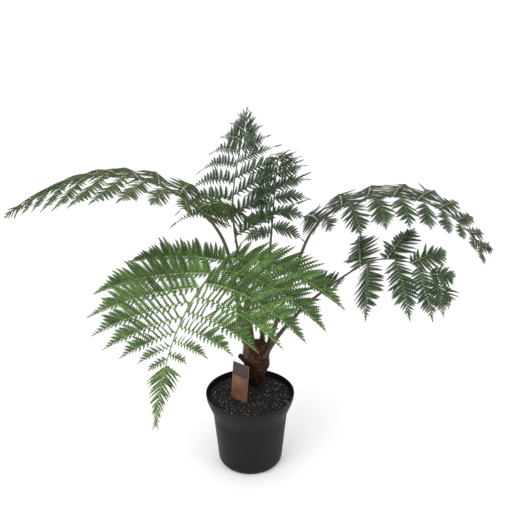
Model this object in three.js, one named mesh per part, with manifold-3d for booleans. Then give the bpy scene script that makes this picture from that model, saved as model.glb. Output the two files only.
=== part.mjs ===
// A young potted tree fern: a short fibrous trunk in a round nursery pot, with six stipes that rise
// from its crown and arch outwards. Each frond is a thin blade: a tapering rib with toothed leaflets
// on both sides, cut to their own ribs between the teeth.
// Millimetres, +Z up; the origin is the centre of the pot's flat underside. The viewer stands at -Y.

import * as THREE from 'three';
import { mergeVertices } from 'three/addons/utils/BufferGeometryUtils.js';
import Module from 'manifold-3d';

const wasm = await Module();
wasm.setup();

// ---------------------------------------------------------------------------------------------
// Driving sizes
// ---------------------------------------------------------------------------------------------

const CLEAR = 0.3; // gap kept between pieces that touch

const POT = {
  height: 180,
  baseRadius: 62, // flat underside
  cornerRadius: 74, // top of the rounded lower corner
  cornerHeight: 20,
  shoulderRadius: 83, // top of the plain body
  shoulderHeight: 116,
  rimRadius: 100,
  wall: 2.2,
  floor: 3,
  soilLevel: 168,
  sides: 36,
};

const TRUNK = {
  foot: new THREE.Vector3(12, 58, POT.soilLevel + CLEAR), // centre of the flat cut on the soil
  crown: new THREE.Vector3(16, 5, 302),
  bend: 1.6, // the trunk leans most at its foot, and its crown stands upright
  footRadius: 18,
  waist: 29, // widest radius, just under the crown
  waistAt: 0.72, // fraction of the height
  crownRadius: 17,
  lobes: 5, // old stipe bases that run round the trunk
  lobeDepth: 0.07,
  lobeTurns: 0.45,
  heel: 8, // swelling that carries the front stipe, which stands furthest out
  heelAzimuth: 223,
  heelWidth: 38,
  sides: 24,
  rings: 9,
};

const STUB = {
  foot: new THREE.Vector3(-3, 2, 252),
  tip: new THREE.Vector3(-22, -10, 277),
  footRadius: 8,
  tipRadius: 5.5,
  sides: 8,
};

const LABEL = {
  centre: new THREE.Vector3(-25, -17, POT.soilLevel), // middle of the edge at the soil
  width: 46,
  height: 89,
  depth: 24, // how far its foot is pushed into the soil
  thickness: 0.9,
  footWidth: 30,
  turn: -38, // degrees about the upright
  lean: 6, // degrees back towards the trunk
};

const RIB = {
  tipRadius: 0.9,
  taper: 1.8,
  lead: 6, // the blade's rib starts this far before its first pair
  sides: 5,
  stipeSides: 8,
  segments: 22,
};

const LEAFLET = {
  segments: 12, // steps of a leaflet's midrib
  tooth: 23, // length of midrib for one pair of teeth
  fewestTeeth: 3,
  widest: 24, // longest tooth
  share: 0.44, // tooth length as a share of the gap between neighbouring leaflets
  stalk: 0.05, // bare fraction at the foot of a leaflet
  slender: 90, // length of a leaflet over the thickness of its rib
  thinnest: 1.6,
  edge: 0.55, // half width of the rib between teeth, over its half thickness
  forward: 0.75, // how far a tooth's point leans on, in tooth lengths of midrib
  shortest: 24, // shorter leaflets merge into the blade at the frond's end
  closing: 0.4, // how far the last leaflets close up along the rib
};

const STATIONS = 96; // steps along a frond's axis
const STAGGER = 0.3; // right leaflets sit this share of a gap further on than left ones

// One row for each frond. Angles are in degrees, lengths in millimetres, fractions of the length.
// Values in pairs of brackets are for the leaflets on the left and right as seen from above.
//   azimuth: compass direction at foot and tip, from +X towards +Y
//   lean: angle from the upright at the foot, the shoulder and the tip
//   shoulder: where the shoulder is, and over what span the stipe bends to it
//   blade: where the leaflets start; reach: longest leaflets; pairs: pairs of leaflets
//   crowd: how much closer the pairs stand towards the tip
//   opening: angle of a leaflet to the rib at the first pair and at the tip
//   lift: rise of a leaflet from the blade's plane at the first pair and at the tip
//   sag: how far their own weight bends the leaflets down
//   twist: turn of the blade about its rib at foot and tip
//   first: first leaflets over the longest; outline: end and power of the blade's outline
//   split: the pair before which an arching frond is divided in two solids
const FRONDS = [
  {
    name: 'front', foot: [-6, -14, 276], footRadius: 7.5, azimuth: [212, 264], lean: [0, 100, 142],
    shoulder: [0.436, 0.148], length: 684, blade: 0.416, reach: [285, 280], pairs: 18, crowd: 2.25,
    opening: [[98, 69], [80, 40]], lift: [[11, 11], [9, 9]], sag: [0.92, 0.59], twist: [3, -6],
    first: [0.95, 0.77], outline: [0.72, 2], split: 5,
  },
  {
    name: 'left', foot: [-6, 8, 280], footRadius: 6.5, azimuth: [181, 209], lean: [9, 51, 128],
    shoulder: [0.52, 0.274], length: 779, blade: 0.447, reach: [229, 230], pairs: 12, crowd: 1.35,
    opening: [[89, 39], [133, 36]], lift: [[25, -11], [25, -30]], sag: [0.04, 0.84], twist: [14, 8],
    first: [0.76, 1.2], outline: [0.9, 2.2], split: 4,
  },
  {
    name: 'back', foot: [6, 24, 286], footRadius: 6, azimuth: [181, 30], lean: [6, 34, 9],
    shoulder: [0.629, 0.517], length: 540, blade: 0.443, reach: [230, 229], pairs: 12, crowd: 2.06,
    opening: [[40, 91], [76, 74]], lift: [[-13, 25], [25, -17]], sag: [1.11, 0.13], twist: [40, 38],
    first: [-0.54, 0.84], outline: [1, 2.4], split: 0,
  },
  {
    name: 'back_right', foot: [26, 22, 286], footRadius: 6, azimuth: [74, 87], lean: [21, 32, 103],
    shoulder: [0.625, 0.488], length: 517, blade: 0.493, reach: [103, 104], pairs: 10, crowd: 1.3,
    opening: [[83, 63], [98, 52]], lift: [[4, 4], [16, 16]], sag: [1.16, 0.78], twist: [39, 4],
    first: [0.96, 1], outline: [1, 2.2], split: 0,
  },
  {
    name: 'right', foot: [37, 5, 280], footRadius: 6, azimuth: [27, -35], lean: [19, 69, 143],
    shoulder: [0.584, 0.248], length: 711, blade: 0.449, reach: [142, 144], pairs: 9, crowd: 1.38,
    opening: [[95, 74], [75, 69]], lift: [[2, 3], [21, 15]], sag: [0.75, 0.86], twist: [-11, -11],
    first: [0.9, 0.47], outline: [0.99, 2.3], split: 3,
  },
  {
    name: 'low_right', foot: [31, -12, 274], footRadius: 5.5, azimuth: [2, -46], lean: [25, 49, 140],
    shoulder: [0.572, 0.739], length: 542, blade: 0.451, reach: [112, 230], pairs: 7, crowd: 1.79,
    opening: [[128, 30], [102, 31]], lift: [[24, 7], [23, 12]], sag: [1.14, 0.61], twist: [7, -39],
    first: [0.7, -0.53], outline: [1, 2.4], split: 2,
  },
];

const MATERIALS = {
  pot: { color: 0x2c2f32, roughness: 0.55, metalness: 0 },
  soil: { color: 0x272423, roughness: 0.95, metalness: 0 },
  trunk: { color: 0x3c2c21, roughness: 0.95, metalness: 0 },
  label: { color: 0x69483a, roughness: 0.6, metalness: 0 },
  stipe: { color: 0x4a3a2b, roughness: 0.85, metalness: 0 },
  frond: { color: 0x5f754d, roughness: 0.6, metalness: 0 },
  shade: { color: 0x4b5844, roughness: 0.65, metalness: 0 },
};

// ---------------------------------------------------------------------------------------------
// Small helpers
// ---------------------------------------------------------------------------------------------

const UP = new THREE.Vector3(0, 0, 1);
const radians = THREE.MathUtils.degToRad;
const mix = THREE.MathUtils.lerp;
const clamp = (x) => THREE.MathUtils.clamp(x, 0, 1);
const ease = (x) => clamp(x) ** 2 * (3 - 2 * clamp(x));

/** A point moved by any number of [vector, distance] pairs. */
function moved(point, ...steps) {
  const result = point.clone();
  for (const [direction, distance] of steps) result.addScaledVector(direction, distance);
  return result;
}

/** A geometry from a list of points and a list of triangles. */
function geometryOf(points, triangles) {
  const geometry = new THREE.BufferGeometry();
  geometry.setAttribute('position', new THREE.Float32BufferAttribute(points.flatMap((p) => p.toArray()), 3));
  geometry.setIndex(triangles.flat());
  return geometry;
}

/** A closed geometry as a solid that can be joined and cut. */
function solidOf(geometry) {
  const bare = geometry.clone();
  bare.deleteAttribute('normal');
  bare.deleteAttribute('uv');
  const merged = mergeVertices(bare, 1e-4);
  return new wasm.Manifold(new wasm.Mesh({
    numProp: 3,
    vertProperties: Float32Array.from(merged.attributes.position.array),
    triVerts: Uint32Array.from(merged.index.array),
  }));
}

/** A solid as a geometry again. */
function geometryFrom(solid) {
  const mesh = solid.getMesh();
  const geometry = new THREE.BufferGeometry();
  geometry.setAttribute('position', new THREE.BufferAttribute(Float32Array.from(mesh.vertProperties), 3));
  geometry.setIndex(new THREE.BufferAttribute(Uint32Array.from(mesh.triVerts), 1));
  geometry.computeVertexNormals();
  return geometry;
}

/** A named sub-part with its own material, its shape given about the place it is put. */
function part(name, solid, finish, place = new THREE.Vector3()) {
  const geometry = geometryFrom(solid).translate(-place.x, -place.y, -place.z);
  const mesh = new THREE.Mesh(geometry, new THREE.MeshStandardMaterial(MATERIALS[finish]));
  mesh.name = name;
  mesh.position.copy(place);
  return mesh;
}

/** A closed skin over rings of equal count, each listed clockwise as seen along the path. */
function loft(rings) {
  const sides = rings[0].length;
  const points = rings.flat();
  const triangles = [];
  for (let i = 0; i < rings.length - 1; i++) {
    for (let j = 0; j < sides; j++) {
      const [a, b] = [i * sides + j, i * sides + ((j + 1) % sides)];
      triangles.push([a, b, b + sides], [a, b + sides, a + sides]);
    }
  }
  const last = (rings.length - 1) * sides;
  for (let j = 1; j < sides - 1; j++) {
    triangles.push([0, j + 1, j], [last, last + j, last + j + 1]);
  }
  return geometryOf(points, triangles);
}

/** A round ring about a point, clockwise as seen along the path: from face towards across. */
function ringAt({ point, across, face }, radius, sides) {
  return Array.from({ length: sides }, (_, j) => {
    const angle = (2 * Math.PI * j) / sides;
    return moved(point, [face, radius * Math.cos(angle)], [across, radius * Math.sin(angle)]);
  });
}

/** A lathe about +Z from [radius, height] pairs that start and end on the axis. */
function turned(profile, sides) {
  const points = profile.map(([radius, height]) => new THREE.Vector2(radius, height));
  return solidOf(new THREE.LatheGeometry(points, sides).rotateX(Math.PI / 2));
}

// ---------------------------------------------------------------------------------------------
// Pot, soil, trunk, stub and label
// ---------------------------------------------------------------------------------------------

/** Outside radius of the pot at a height: rounded corner, straight body, then a flaring collar. */
function potRadius(height) {
  if (height < POT.cornerHeight) {
    const sink = 1 - height / POT.cornerHeight;
    return mix(POT.baseRadius, POT.cornerRadius, Math.sqrt(1 - sink ** 2));
  }
  if (height <= POT.shoulderHeight) {
    const rise = (height - POT.cornerHeight) / (POT.shoulderHeight - POT.cornerHeight);
    return mix(POT.cornerRadius, POT.shoulderRadius, rise);
  }
  const rise = (height - POT.shoulderHeight) / (POT.height - POT.shoulderHeight);
  const flare = (1 - Math.cos(Math.PI * rise)) / 2;
  return mix(POT.shoulderRadius, POT.rimRadius, flare);
}

/** Heights at which pot and compost change slope, from the underside to the compost's surface. */
function wallHeights() {
  const corner = [0.2, 0.5, 1].map((f) => f * POT.cornerHeight);
  const collar = [0, 1 / 3, 2 / 3, 1].map((f) => mix(POT.shoulderHeight, POT.soilLevel, f));
  return [...corner, ...collar];
}

/** A thin-walled pot with a flat floor and an open top. */
function makePot() {
  const foot = [0, 0.05].map((f) => f * POT.cornerHeight);
  const heights = [...wallHeights(), POT.height];
  const outside = [...foot, ...heights].map((h) => [potRadius(h), h]);
  const inside = [...heights].reverse().map((h) => [potRadius(h) - POT.wall, h]);
  const floor = [[POT.baseRadius, POT.floor], [0, POT.floor]];
  return turned([[0, 0], ...outside, ...inside, ...floor], POT.sides);
}

/** The compost, clear of the pot's wall and floor, flat on top. */
function makeSoil() {
  const wall = wallHeights().map((h) => [potRadius(h) - POT.wall - 2 * CLEAR, h]);
  const floor = POT.floor + CLEAR;
  return turned([[0, floor], [POT.baseRadius - 2, floor], ...wall, [0, POT.soilLevel]], POT.sides);
}

/** Trunk radius: slim at the soil, widest under the crown, domed on top, with lobes and a heel. */
function trunkRadius(rise, turn) {
  const over = clamp((rise - TRUNK.waistAt) / (1 - TRUNK.waistAt));
  const dome = Math.sqrt(1 - over ** 2);
  const below = mix(TRUNK.footRadius, TRUNK.waist, ease(rise / TRUNK.waistAt));
  const radius = rise < TRUNK.waistAt ? below : mix(TRUNK.crownRadius, TRUNK.waist, dome);
  const wave = Math.cos(2 * Math.PI * TRUNK.lobes * (turn + TRUNK.lobeTurns * rise));
  const off = ((360 * turn - TRUNK.heelAzimuth + 540) % 360) - 180;
  const heel = TRUNK.heel * Math.exp(-((off / TRUNK.heelWidth) ** 2)) * ease((rise - 0.62) / 0.2) * dome;
  return radius * (1 + TRUNK.lobeDepth * wave) + heel;
}

/** The trunk, with a flat cut at the soil; grown is how far it is made larger. */
function makeTrunk(grown = 0) {
  const [ahead, aside] = [new THREE.Vector3(1, 0, 0), new THREE.Vector3(0, 1, 0)];
  const rings = Array.from({ length: TRUNK.rings + 1 }, (_, i) => {
    const rise = Math.sin((i / TRUNK.rings) * (Math.PI / 2));
    const middle = TRUNK.foot.clone().lerp(TRUNK.crown, 1 - (1 - rise) ** TRUNK.bend);
    middle.z = mix(TRUNK.foot.z, TRUNK.crown.z, rise);
    if (i === TRUNK.rings) middle.z += grown;
    return Array.from({ length: TRUNK.sides }, (_, j) => {
      const turn = j / TRUNK.sides;
      const reach = trunkRadius(rise, turn) + grown;
      const angle = 2 * Math.PI * turn;
      return moved(middle, [ahead, reach * Math.cos(angle)], [aside, reach * Math.sin(angle)]);
    });
  });
  return solidOf(loft(rings));
}

/** The cut stub of an old frond, low on the trunk's left side. */
function makeStub(trunkRoom) {
  const along = STUB.tip.clone().sub(STUB.foot).normalize();
  const across = new THREE.Vector3().crossVectors(along, UP).normalize();
  const face = new THREE.Vector3().crossVectors(across, along);
  const foot = ringAt({ point: STUB.foot, across, face }, STUB.footRadius, STUB.sides);
  const tip = ringAt({ point: STUB.tip, across, face }, STUB.tipRadius, STUB.sides);
  return solidOf(loft([foot, tip])).subtract(trunkRoom);
}

/** The plant label: a thin board with a narrower foot that is pushed into the compost. */
function makeLabel(grown = 0) {
  const half = LABEL.width / 2 + grown;
  const foot = LABEL.footWidth / 2 + grown;
  const outline = new THREE.Shape();
  outline.moveTo(-half, LABEL.height + grown);
  outline.lineTo(-half, CLEAR - grown);
  outline.lineTo(-foot, CLEAR - grown);
  outline.lineTo(-foot, -LABEL.depth - grown);
  outline.lineTo(foot, -LABEL.depth - grown);
  outline.lineTo(foot, CLEAR - grown);
  outline.lineTo(half, CLEAR - grown);
  outline.lineTo(half, LABEL.height + grown);
  const depth = LABEL.thickness + 2 * grown;
  const board = new THREE.ExtrudeGeometry(outline, { depth, bevelEnabled: false });
  board.translate(0, 0, -depth / 2);
  board.rotateX(Math.PI / 2 - radians(LABEL.lean));
  board.rotateZ(radians(LABEL.turn));
  board.translate(...LABEL.centre.toArray());
  return solidOf(board);
}

// ---------------------------------------------------------------------------------------------
// Fronds
// ---------------------------------------------------------------------------------------------

/** Directions of a frond at a fraction of its length: along it, across its blade, out of its face. */
function directionsAt(frond, t) {
  const [foot, shoulder, tip] = frond.lean;
  const [place, span] = frond.shoulder;
  const bend = (shoulder - foot) * ease((t - place + span) / span);
  const arch = (tip - shoulder) * clamp((t - place) / (1 - place));
  const lean = radians(foot + bend + arch);
  const azimuth = radians(mix(...frond.azimuth, t));
  const out = new THREE.Vector3(Math.cos(azimuth), Math.sin(azimuth), 0);
  const side = new THREE.Vector3(Math.sin(azimuth), -Math.cos(azimuth), 0);
  const along = moved(new THREE.Vector3(), [out, Math.sin(lean)], [UP, Math.cos(lean)]);
  const inner = moved(new THREE.Vector3(), [out, -Math.cos(lean)], [UP, Math.sin(lean)]);
  const twist = radians(mix(...frond.twist, t));
  const across = moved(new THREE.Vector3(), [side, Math.cos(twist)], [inner, Math.sin(twist)]);
  const face = moved(new THREE.Vector3(), [side, -Math.sin(twist)], [inner, Math.cos(twist)]);
  return { along, across, face };
}

/** A frond's axis: its points are the running sum of short steps along its own direction. */
function growAxis(frond) {
  const frames = Array.from({ length: STATIONS + 1 }, (_, i) => directionsAt(frond, i / STATIONS));
  const points = [new THREE.Vector3(...frond.foot)];
  const half = frond.length / STATIONS / 2;
  for (let i = 1; i <= STATIONS; i++) {
    points.push(moved(points[i - 1], [frames[i - 1].along, half], [frames[i].along, half]));
  }
  return { points, frames };
}

/** Point and directions at any fraction of the axis. */
function axisAt(axis, t) {
  const at = Math.min(clamp(t) * STATIONS, STATIONS - 1e-9);
  const i = Math.floor(at);
  const [here, next] = [axis.frames[i], axis.frames[i + 1]];
  const blend = (key) => here[key].clone().lerp(next[key], at - i).normalize();
  const point = axis.points[i].clone().lerp(axis.points[i + 1], at - i);
  return { point, along: blend('along'), across: blend('across'), face: blend('face') };
}

/** Radius of stipe and rib at a fraction of the length. */
function ribRadius(frond, t) {
  return RIB.tipRadius + (frond.footRadius - RIB.tipRadius) * (1 - t) ** RIB.taper;
}

/** A tapering limb along the axis between two fractions. */
function limb(frond, axis, from, to, sides, segments) {
  const rings = Array.from({ length: segments + 1 }, (_, i) => {
    const t = mix(from, to, i / segments);
    return ringAt(axisAt(axis, t), ribRadius(frond, t), sides);
  });
  return solidOf(loft(rings));
}

/** Blade fraction of a leaflet: the pairs crowd towards the tip. */
function placeOf(frond, pair) {
  return 1 - (1 - pair / frond.pairs) ** frond.crowd;
}

/** Length fraction of the frond at a blade fraction. */
function lengthAt(frond, place) {
  return frond.blade + (1 - frond.blade) * place;
}

/** A row's value for the leaflets on one side: -1 is left and 1 is right. */
const onSide = (values, side) => values[side > 0 ? 1 : 0];

/** Leaflet length over the reach: swells to the full reach, then narrows to a drawn-out tip. */
function outlineAt(frond, place, side) {
  const [end, power] = frond.outline;
  const swell = mix(onSide(frond.first, side), 1, Math.sin((Math.PI / 2) * clamp(place / 0.2)));
  const main = swell * (1 - clamp(place / end) ** power);
  const drawnOut = end < 1 ? Math.min(0.3, (0.14 * (1 - place)) / (1 - end)) : 0;
  return Math.max(main, drawnOut, 0.04);
}

/** Tooth length for a leaflet, so that neighbours stay clear of each other. */
function toothAt(frond, pair) {
  const blade = frond.length * (1 - frond.blade);
  const gap = (blade * frond.crowd * (1 - (pair + 0.5) / frond.pairs) ** (frond.crowd - 1)) / frond.pairs;
  return Math.min(LEAFLET.share * gap, LEAFLET.widest);
}

/** Midrib of a leaflet: it leaves the rib at its opening angle, lifts, and sags under its weight. */
function midrib(frond, axis, place, side, length) {
  const { point, along, across, face } = axisAt(axis, Math.min(lengthAt(frond, place), 0.998));
  const closing = 1 - LEAFLET.closing * place ** 6;
  const opening = radians(mix(...onSide(frond.opening, side), place ** 0.6)) * closing;
  const lift = radians(mix(...onSide(frond.lift, side), place ** 0.6));
  const bend = (onSide(frond.sag, side) * length) / Math.max(...frond.reach);
  const level = moved(new THREE.Vector3(), [along, Math.cos(opening)], [across, side * Math.sin(opening)]);
  const start = moved(new THREE.Vector3(), [level, Math.cos(lift)], [face, Math.sin(lift)]);
  const directions = Array.from({ length: LEAFLET.segments + 1 }, (_, i) => {
    return moved(start, [UP, (-bend * i) / LEAFLET.segments]).normalize();
  });
  const half = length / LEAFLET.segments / 2;
  const points = [point];
  for (let i = 1; i <= LEAFLET.segments; i++) {
    points.push(moved(points[i - 1], [directions[i - 1], half], [directions[i], half]));
  }
  return { points, directions, face };
}

/** Point, direction and sideways vectors of a midrib at a fraction of it. */
function midribAt(rib, u) {
  const steps = rib.points.length - 1;
  const at = Math.min(clamp(u) * steps, steps - 1e-9);
  const i = Math.floor(at);
  const along = rib.directions[i].clone().lerp(rib.directions[i + 1], at - i).normalize();
  const across = new THREE.Vector3().crossVectors(along, rib.face).normalize();
  const face = new THREE.Vector3().crossVectors(across, along);
  return { point: rib.points[i].clone().lerp(rib.points[i + 1], at - i), along, across, face };
}

/** Tooth length over the longest, along a leaflet: full from near the foot, then to nothing. */
function toothOutline(u) {
  return Math.min(1, 0.72 + 1.6 * u) * (1 - u ** 2.4);
}

/**
 * A toothed blade: a rib of four-cornered section and, between its stations, one wedge-shaped tooth
 * on each side that is thick at the rib and sharp at its point. It ends in a point.
 */
function toothedBlade(rib, length, tooth, from = LEAFLET.stalk) {
  const teeth = Math.max(LEAFLET.fewestTeeth, Math.round(length / LEAFLET.tooth));
  const thick = Math.max(length / LEAFLET.slender, LEAFLET.thinnest) / 2;
  const points = [];
  const triangles = [];
  const station = (u) => {
    const { point, across, face } = midribAt(rib, u);
    const high = thick * (1 - 0.6 * u);
    const wide = high * LEAFLET.edge;
    const first = points.length;
    points.push(moved(point, [face, high]), moved(point, [across, wide]));
    points.push(moved(point, [face, -high]), moved(point, [across, -wide]));
    return first;
  };
  const point = (u, side) => {
    const here = midribAt(rib, u);
    const reach = tooth * toothOutline(u);
    points.push(moved(here.point, [here.across, side * reach], [here.along, 0.35 * reach]));
    return points.length - 1;
  };
  const root = station(0);
  triangles.push([root, root + 3, root + 2], [root, root + 2, root + 1]);
  let behind = station(from);
  for (let j = 0; j < 4; j++) {
    const k = (j + 1) % 4;
    triangles.push([root + j, root + k, behind + k], [root + j, behind + k, behind + j]);
  }
  for (let i = 0; i < teeth; i++) {
    const [start, end] = [mix(from, 0.97, i / teeth), mix(from, 0.97, (i + 1) / teeth)];
    const ahead = station(end);
    for (const [side, edge] of [[1, 1], [-1, 3]]) {
      const tip = point(mix(start, end, LEAFLET.forward), side);
      const [before, after] = [edge - 1, (edge + 1) % 4];
      triangles.push([behind + before, behind + edge, tip], [behind + before, tip, ahead + before]);
      triangles.push([ahead + before, tip, ahead + edge], [tip, behind + edge, behind + after]);
      triangles.push([tip, behind + after, ahead + after], [tip, ahead + after, ahead + edge]);
    }
    behind = ahead;
  }
  points.push(midribAt(rib, 1).point);
  for (let j = 0; j < 4; j++) triangles.push([behind + j, behind + ((j + 1) % 4), points.length - 1]);
  return solidOf(geometryOf(points, triangles));
}

/** The blade at the frond's end: the rib itself is its midrib, with teeth where leaflets merge. */
function endBlade(frond, axis, place) {
  const from = lengthAt(frond, place);
  const frames = Array.from({ length: LEAFLET.segments + 1 }, (_, i) => (
    axisAt(axis, mix(from, 1, i / LEAFLET.segments))
  ));
  const points = frames.map((frame) => frame.point);
  const directions = frames.map((frame) => frame.along);
  const rib = { points, directions, face: frames[0].face };
  return toothedBlade(rib, frond.length * (1 - from), LEAFLET.shortest, 0.02);
}

/** Leaflets of a frond from one pair up to another, short ones left out. */
function leaflets(frond, axis, first, last) {
  const solids = [];
  let end = first;
  for (let pair = first; pair < last; pair++) {
    for (const side of [-1, 1]) {
      const place = placeOf(frond, pair + (side > 0 ? STAGGER : 0));
      const length = onSide(frond.reach, side) * outlineAt(frond, place, side);
      if (length < LEAFLET.shortest) continue;
      const rib = midrib(frond, axis, place, side, length);
      solids.push(toothedBlade(rib, length, toothAt(frond, pair)));
      end = pair + 1;
    }
  }
  return { solids, end };
}

/** The stipe, cut clear of the trunk's crown and of the blade that goes on from it. */
function makeStipe(frond, axis, trunkRoom) {
  const end = frond.blade - (RIB.lead + CLEAR) / frond.length;
  return limb(frond, axis, 0, end, RIB.stipeSides, 16).subtract(trunkRoom);
}

/** One blade between two pairs: its rib with every leaflet sunk into it. */
function makeBlade(frond, axis, first, last) {
  const gap = CLEAR / frond.length;
  const divide = (pair) => lengthAt(frond, placeOf(frond, pair - (1 - STAGGER) / 2));
  const { solids, end } = leaflets(frond, axis, first, last);
  const start = first ? divide(first) + gap / 2 : frond.blade - RIB.lead / frond.length;
  let finish = divide(last) - gap / 2;
  if (last === frond.pairs) {
    const place = placeOf(frond, end);
    finish = mix(lengthAt(frond, place), 1, 0.2);
    solids.push(endBlade(frond, axis, place));
  }
  const segments = Math.max(6, Math.round(RIB.segments * (finish - start) * 2));
  const rib = limb(frond, axis, start, finish, RIB.sides, segments);
  return solids.reduce((whole, leaflet) => whole.add(leaflet), rib);
}

// ---------------------------------------------------------------------------------------------
// The plant
// ---------------------------------------------------------------------------------------------

const trunkRoom = makeTrunk(CLEAR);
const labelRoom = makeLabel(CLEAR);

/** The filled pot with its label. */
function buildPot() {
  const pot = new THREE.Group();
  pot.add(part('pot', makePot(), 'pot'));
  pot.add(part('soil', makeSoil().subtract(labelRoom), 'soil'));
  pot.add(part('label', makeLabel(), 'label', LABEL.centre));
  return pot;
}

/** The trunk with its old stub. */
function buildTrunk() {
  const trunk = new THREE.Group();
  trunk.add(part('trunk', makeTrunk(), 'trunk', TRUNK.foot));
  trunk.add(part('old_frond_stub', makeStub(trunkRoom), 'trunk', STUB.foot));
  return trunk;
}

/** One frond: its stipe and its blade, which is in two solids where it arches over. */
function buildFrond(frond) {
  const axis = growAxis(frond);
  const foot = new THREE.Vector3(...frond.foot);
  const finish = frond.name.startsWith('back') ? 'shade' : 'frond';
  const whole = new THREE.Group();
  whole.add(part(`stipe_${frond.name}`, makeStipe(frond, axis, trunkRoom), 'stipe', foot));
  const name = `frond_${frond.name}`;
  if (frond.split) {
    whole.add(part(`${name}_inner`, makeBlade(frond, axis, 0, frond.split), finish, foot));
    whole.add(part(`${name}_tip`, makeBlade(frond, axis, frond.split, frond.pairs), finish, foot));
  } else {
    whole.add(part(name, makeBlade(frond, axis, 0, frond.pairs), finish, foot));
  }
  return whole;
}

const group = new THREE.Group();
group.add(buildPot(), buildTrunk(), ...FRONDS.map(buildFrond));

export default group;
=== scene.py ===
"""A young tree fern in a round nursery pot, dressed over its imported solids.

The fronds grow by the same rule as the solids and are carried on to lobed leaflets. Lengths are in
millimetres in the sizes below and become metres when a mesh is made; +Z is up, and the viewer of the
front stands at -Y.
"""

import logging
import math
from dataclasses import dataclass, field
from enum import Enum
from typing import Any, Iterable, Sequence, Union

import bpy
import numpy as np
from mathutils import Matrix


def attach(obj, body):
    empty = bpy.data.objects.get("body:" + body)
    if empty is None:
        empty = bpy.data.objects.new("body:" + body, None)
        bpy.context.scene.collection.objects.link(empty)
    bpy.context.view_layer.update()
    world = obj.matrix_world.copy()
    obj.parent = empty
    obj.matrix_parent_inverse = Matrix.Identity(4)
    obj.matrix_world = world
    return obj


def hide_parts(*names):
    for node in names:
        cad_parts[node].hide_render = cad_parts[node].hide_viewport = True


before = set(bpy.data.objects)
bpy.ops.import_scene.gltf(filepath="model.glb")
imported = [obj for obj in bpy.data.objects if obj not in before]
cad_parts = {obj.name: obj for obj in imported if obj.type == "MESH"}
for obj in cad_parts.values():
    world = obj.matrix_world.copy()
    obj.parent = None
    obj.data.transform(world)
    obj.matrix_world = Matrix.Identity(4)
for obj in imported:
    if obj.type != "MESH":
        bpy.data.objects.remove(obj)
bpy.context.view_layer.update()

Array = np.ndarray
RGB = tuple[float, float, float]
Pair = tuple[float, float]
Triple = tuple[float, float, float]

MM = 0.001
TINY = 1e-12
UP = np.array([0.0, 0.0, 1.0])
log = logging.getLogger("tree_fern")


# ---- Numbers ----


def mix(start: Any, end: Any, share: Any) -> Any:
    """Value at a share of the way from start to end."""
    return start + (end - start) * share


def ease(share: Array) -> Array:
    """Share of 0 to 1 that starts and ends gently: 3 s^2 - 2 s^3, held outside that range."""
    held = np.clip(share, 0.0, 1.0)
    return held * held * (3.0 - 2.0 * held)


def unit(vectors: Array) -> Array:
    """Vectors along the last axis, each divided by its length."""
    return vectors / np.maximum(np.linalg.norm(vectors, axis=-1, keepdims=True), TINY)


def display(red: float, green: float, blue: float) -> RGB:
    """A colour as seen on a display, 0 to 255, turned to linear light by the usual sRGB rule."""
    return tuple(((c / 255 + 0.055) / 1.055) ** 2.4 if c > 10 else c / 3294.6 for c in (red, green, blue))


def lattice(first: Array, second: Array, seed: int, period: int = 64) -> Array:
    """Smooth uneven values between -1 and 1 over a plane.

    A square lattice of random numbers, blended between its corners with eased shares; it repeats
    after a whole period in both directions.

    Args:
        first: first coordinate, in lattice steps.
        second: second coordinate, in lattice steps, of the same shape.
        seed: number that picks the lattice.
        period: steps after which the values repeat.

    Returns:
        Values of the same shape as the coordinates.
    """
    table = np.random.default_rng(seed).uniform(-1.0, 1.0, (period, period))
    low_a, low_b = np.floor(first).astype(int), np.floor(second).astype(int)
    share_a, share_b = ease(first - low_a), ease(second - low_b)
    a0, a1, b0, b1 = low_a % period, (low_a + 1) % period, low_b % period, (low_b + 1) % period
    near = mix(table[a0, b0], table[a1, b0], share_a)
    far = mix(table[a0, b1], table[a1, b1], share_a)
    return mix(near, far, share_b)


# ---- Meshes ----


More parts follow.
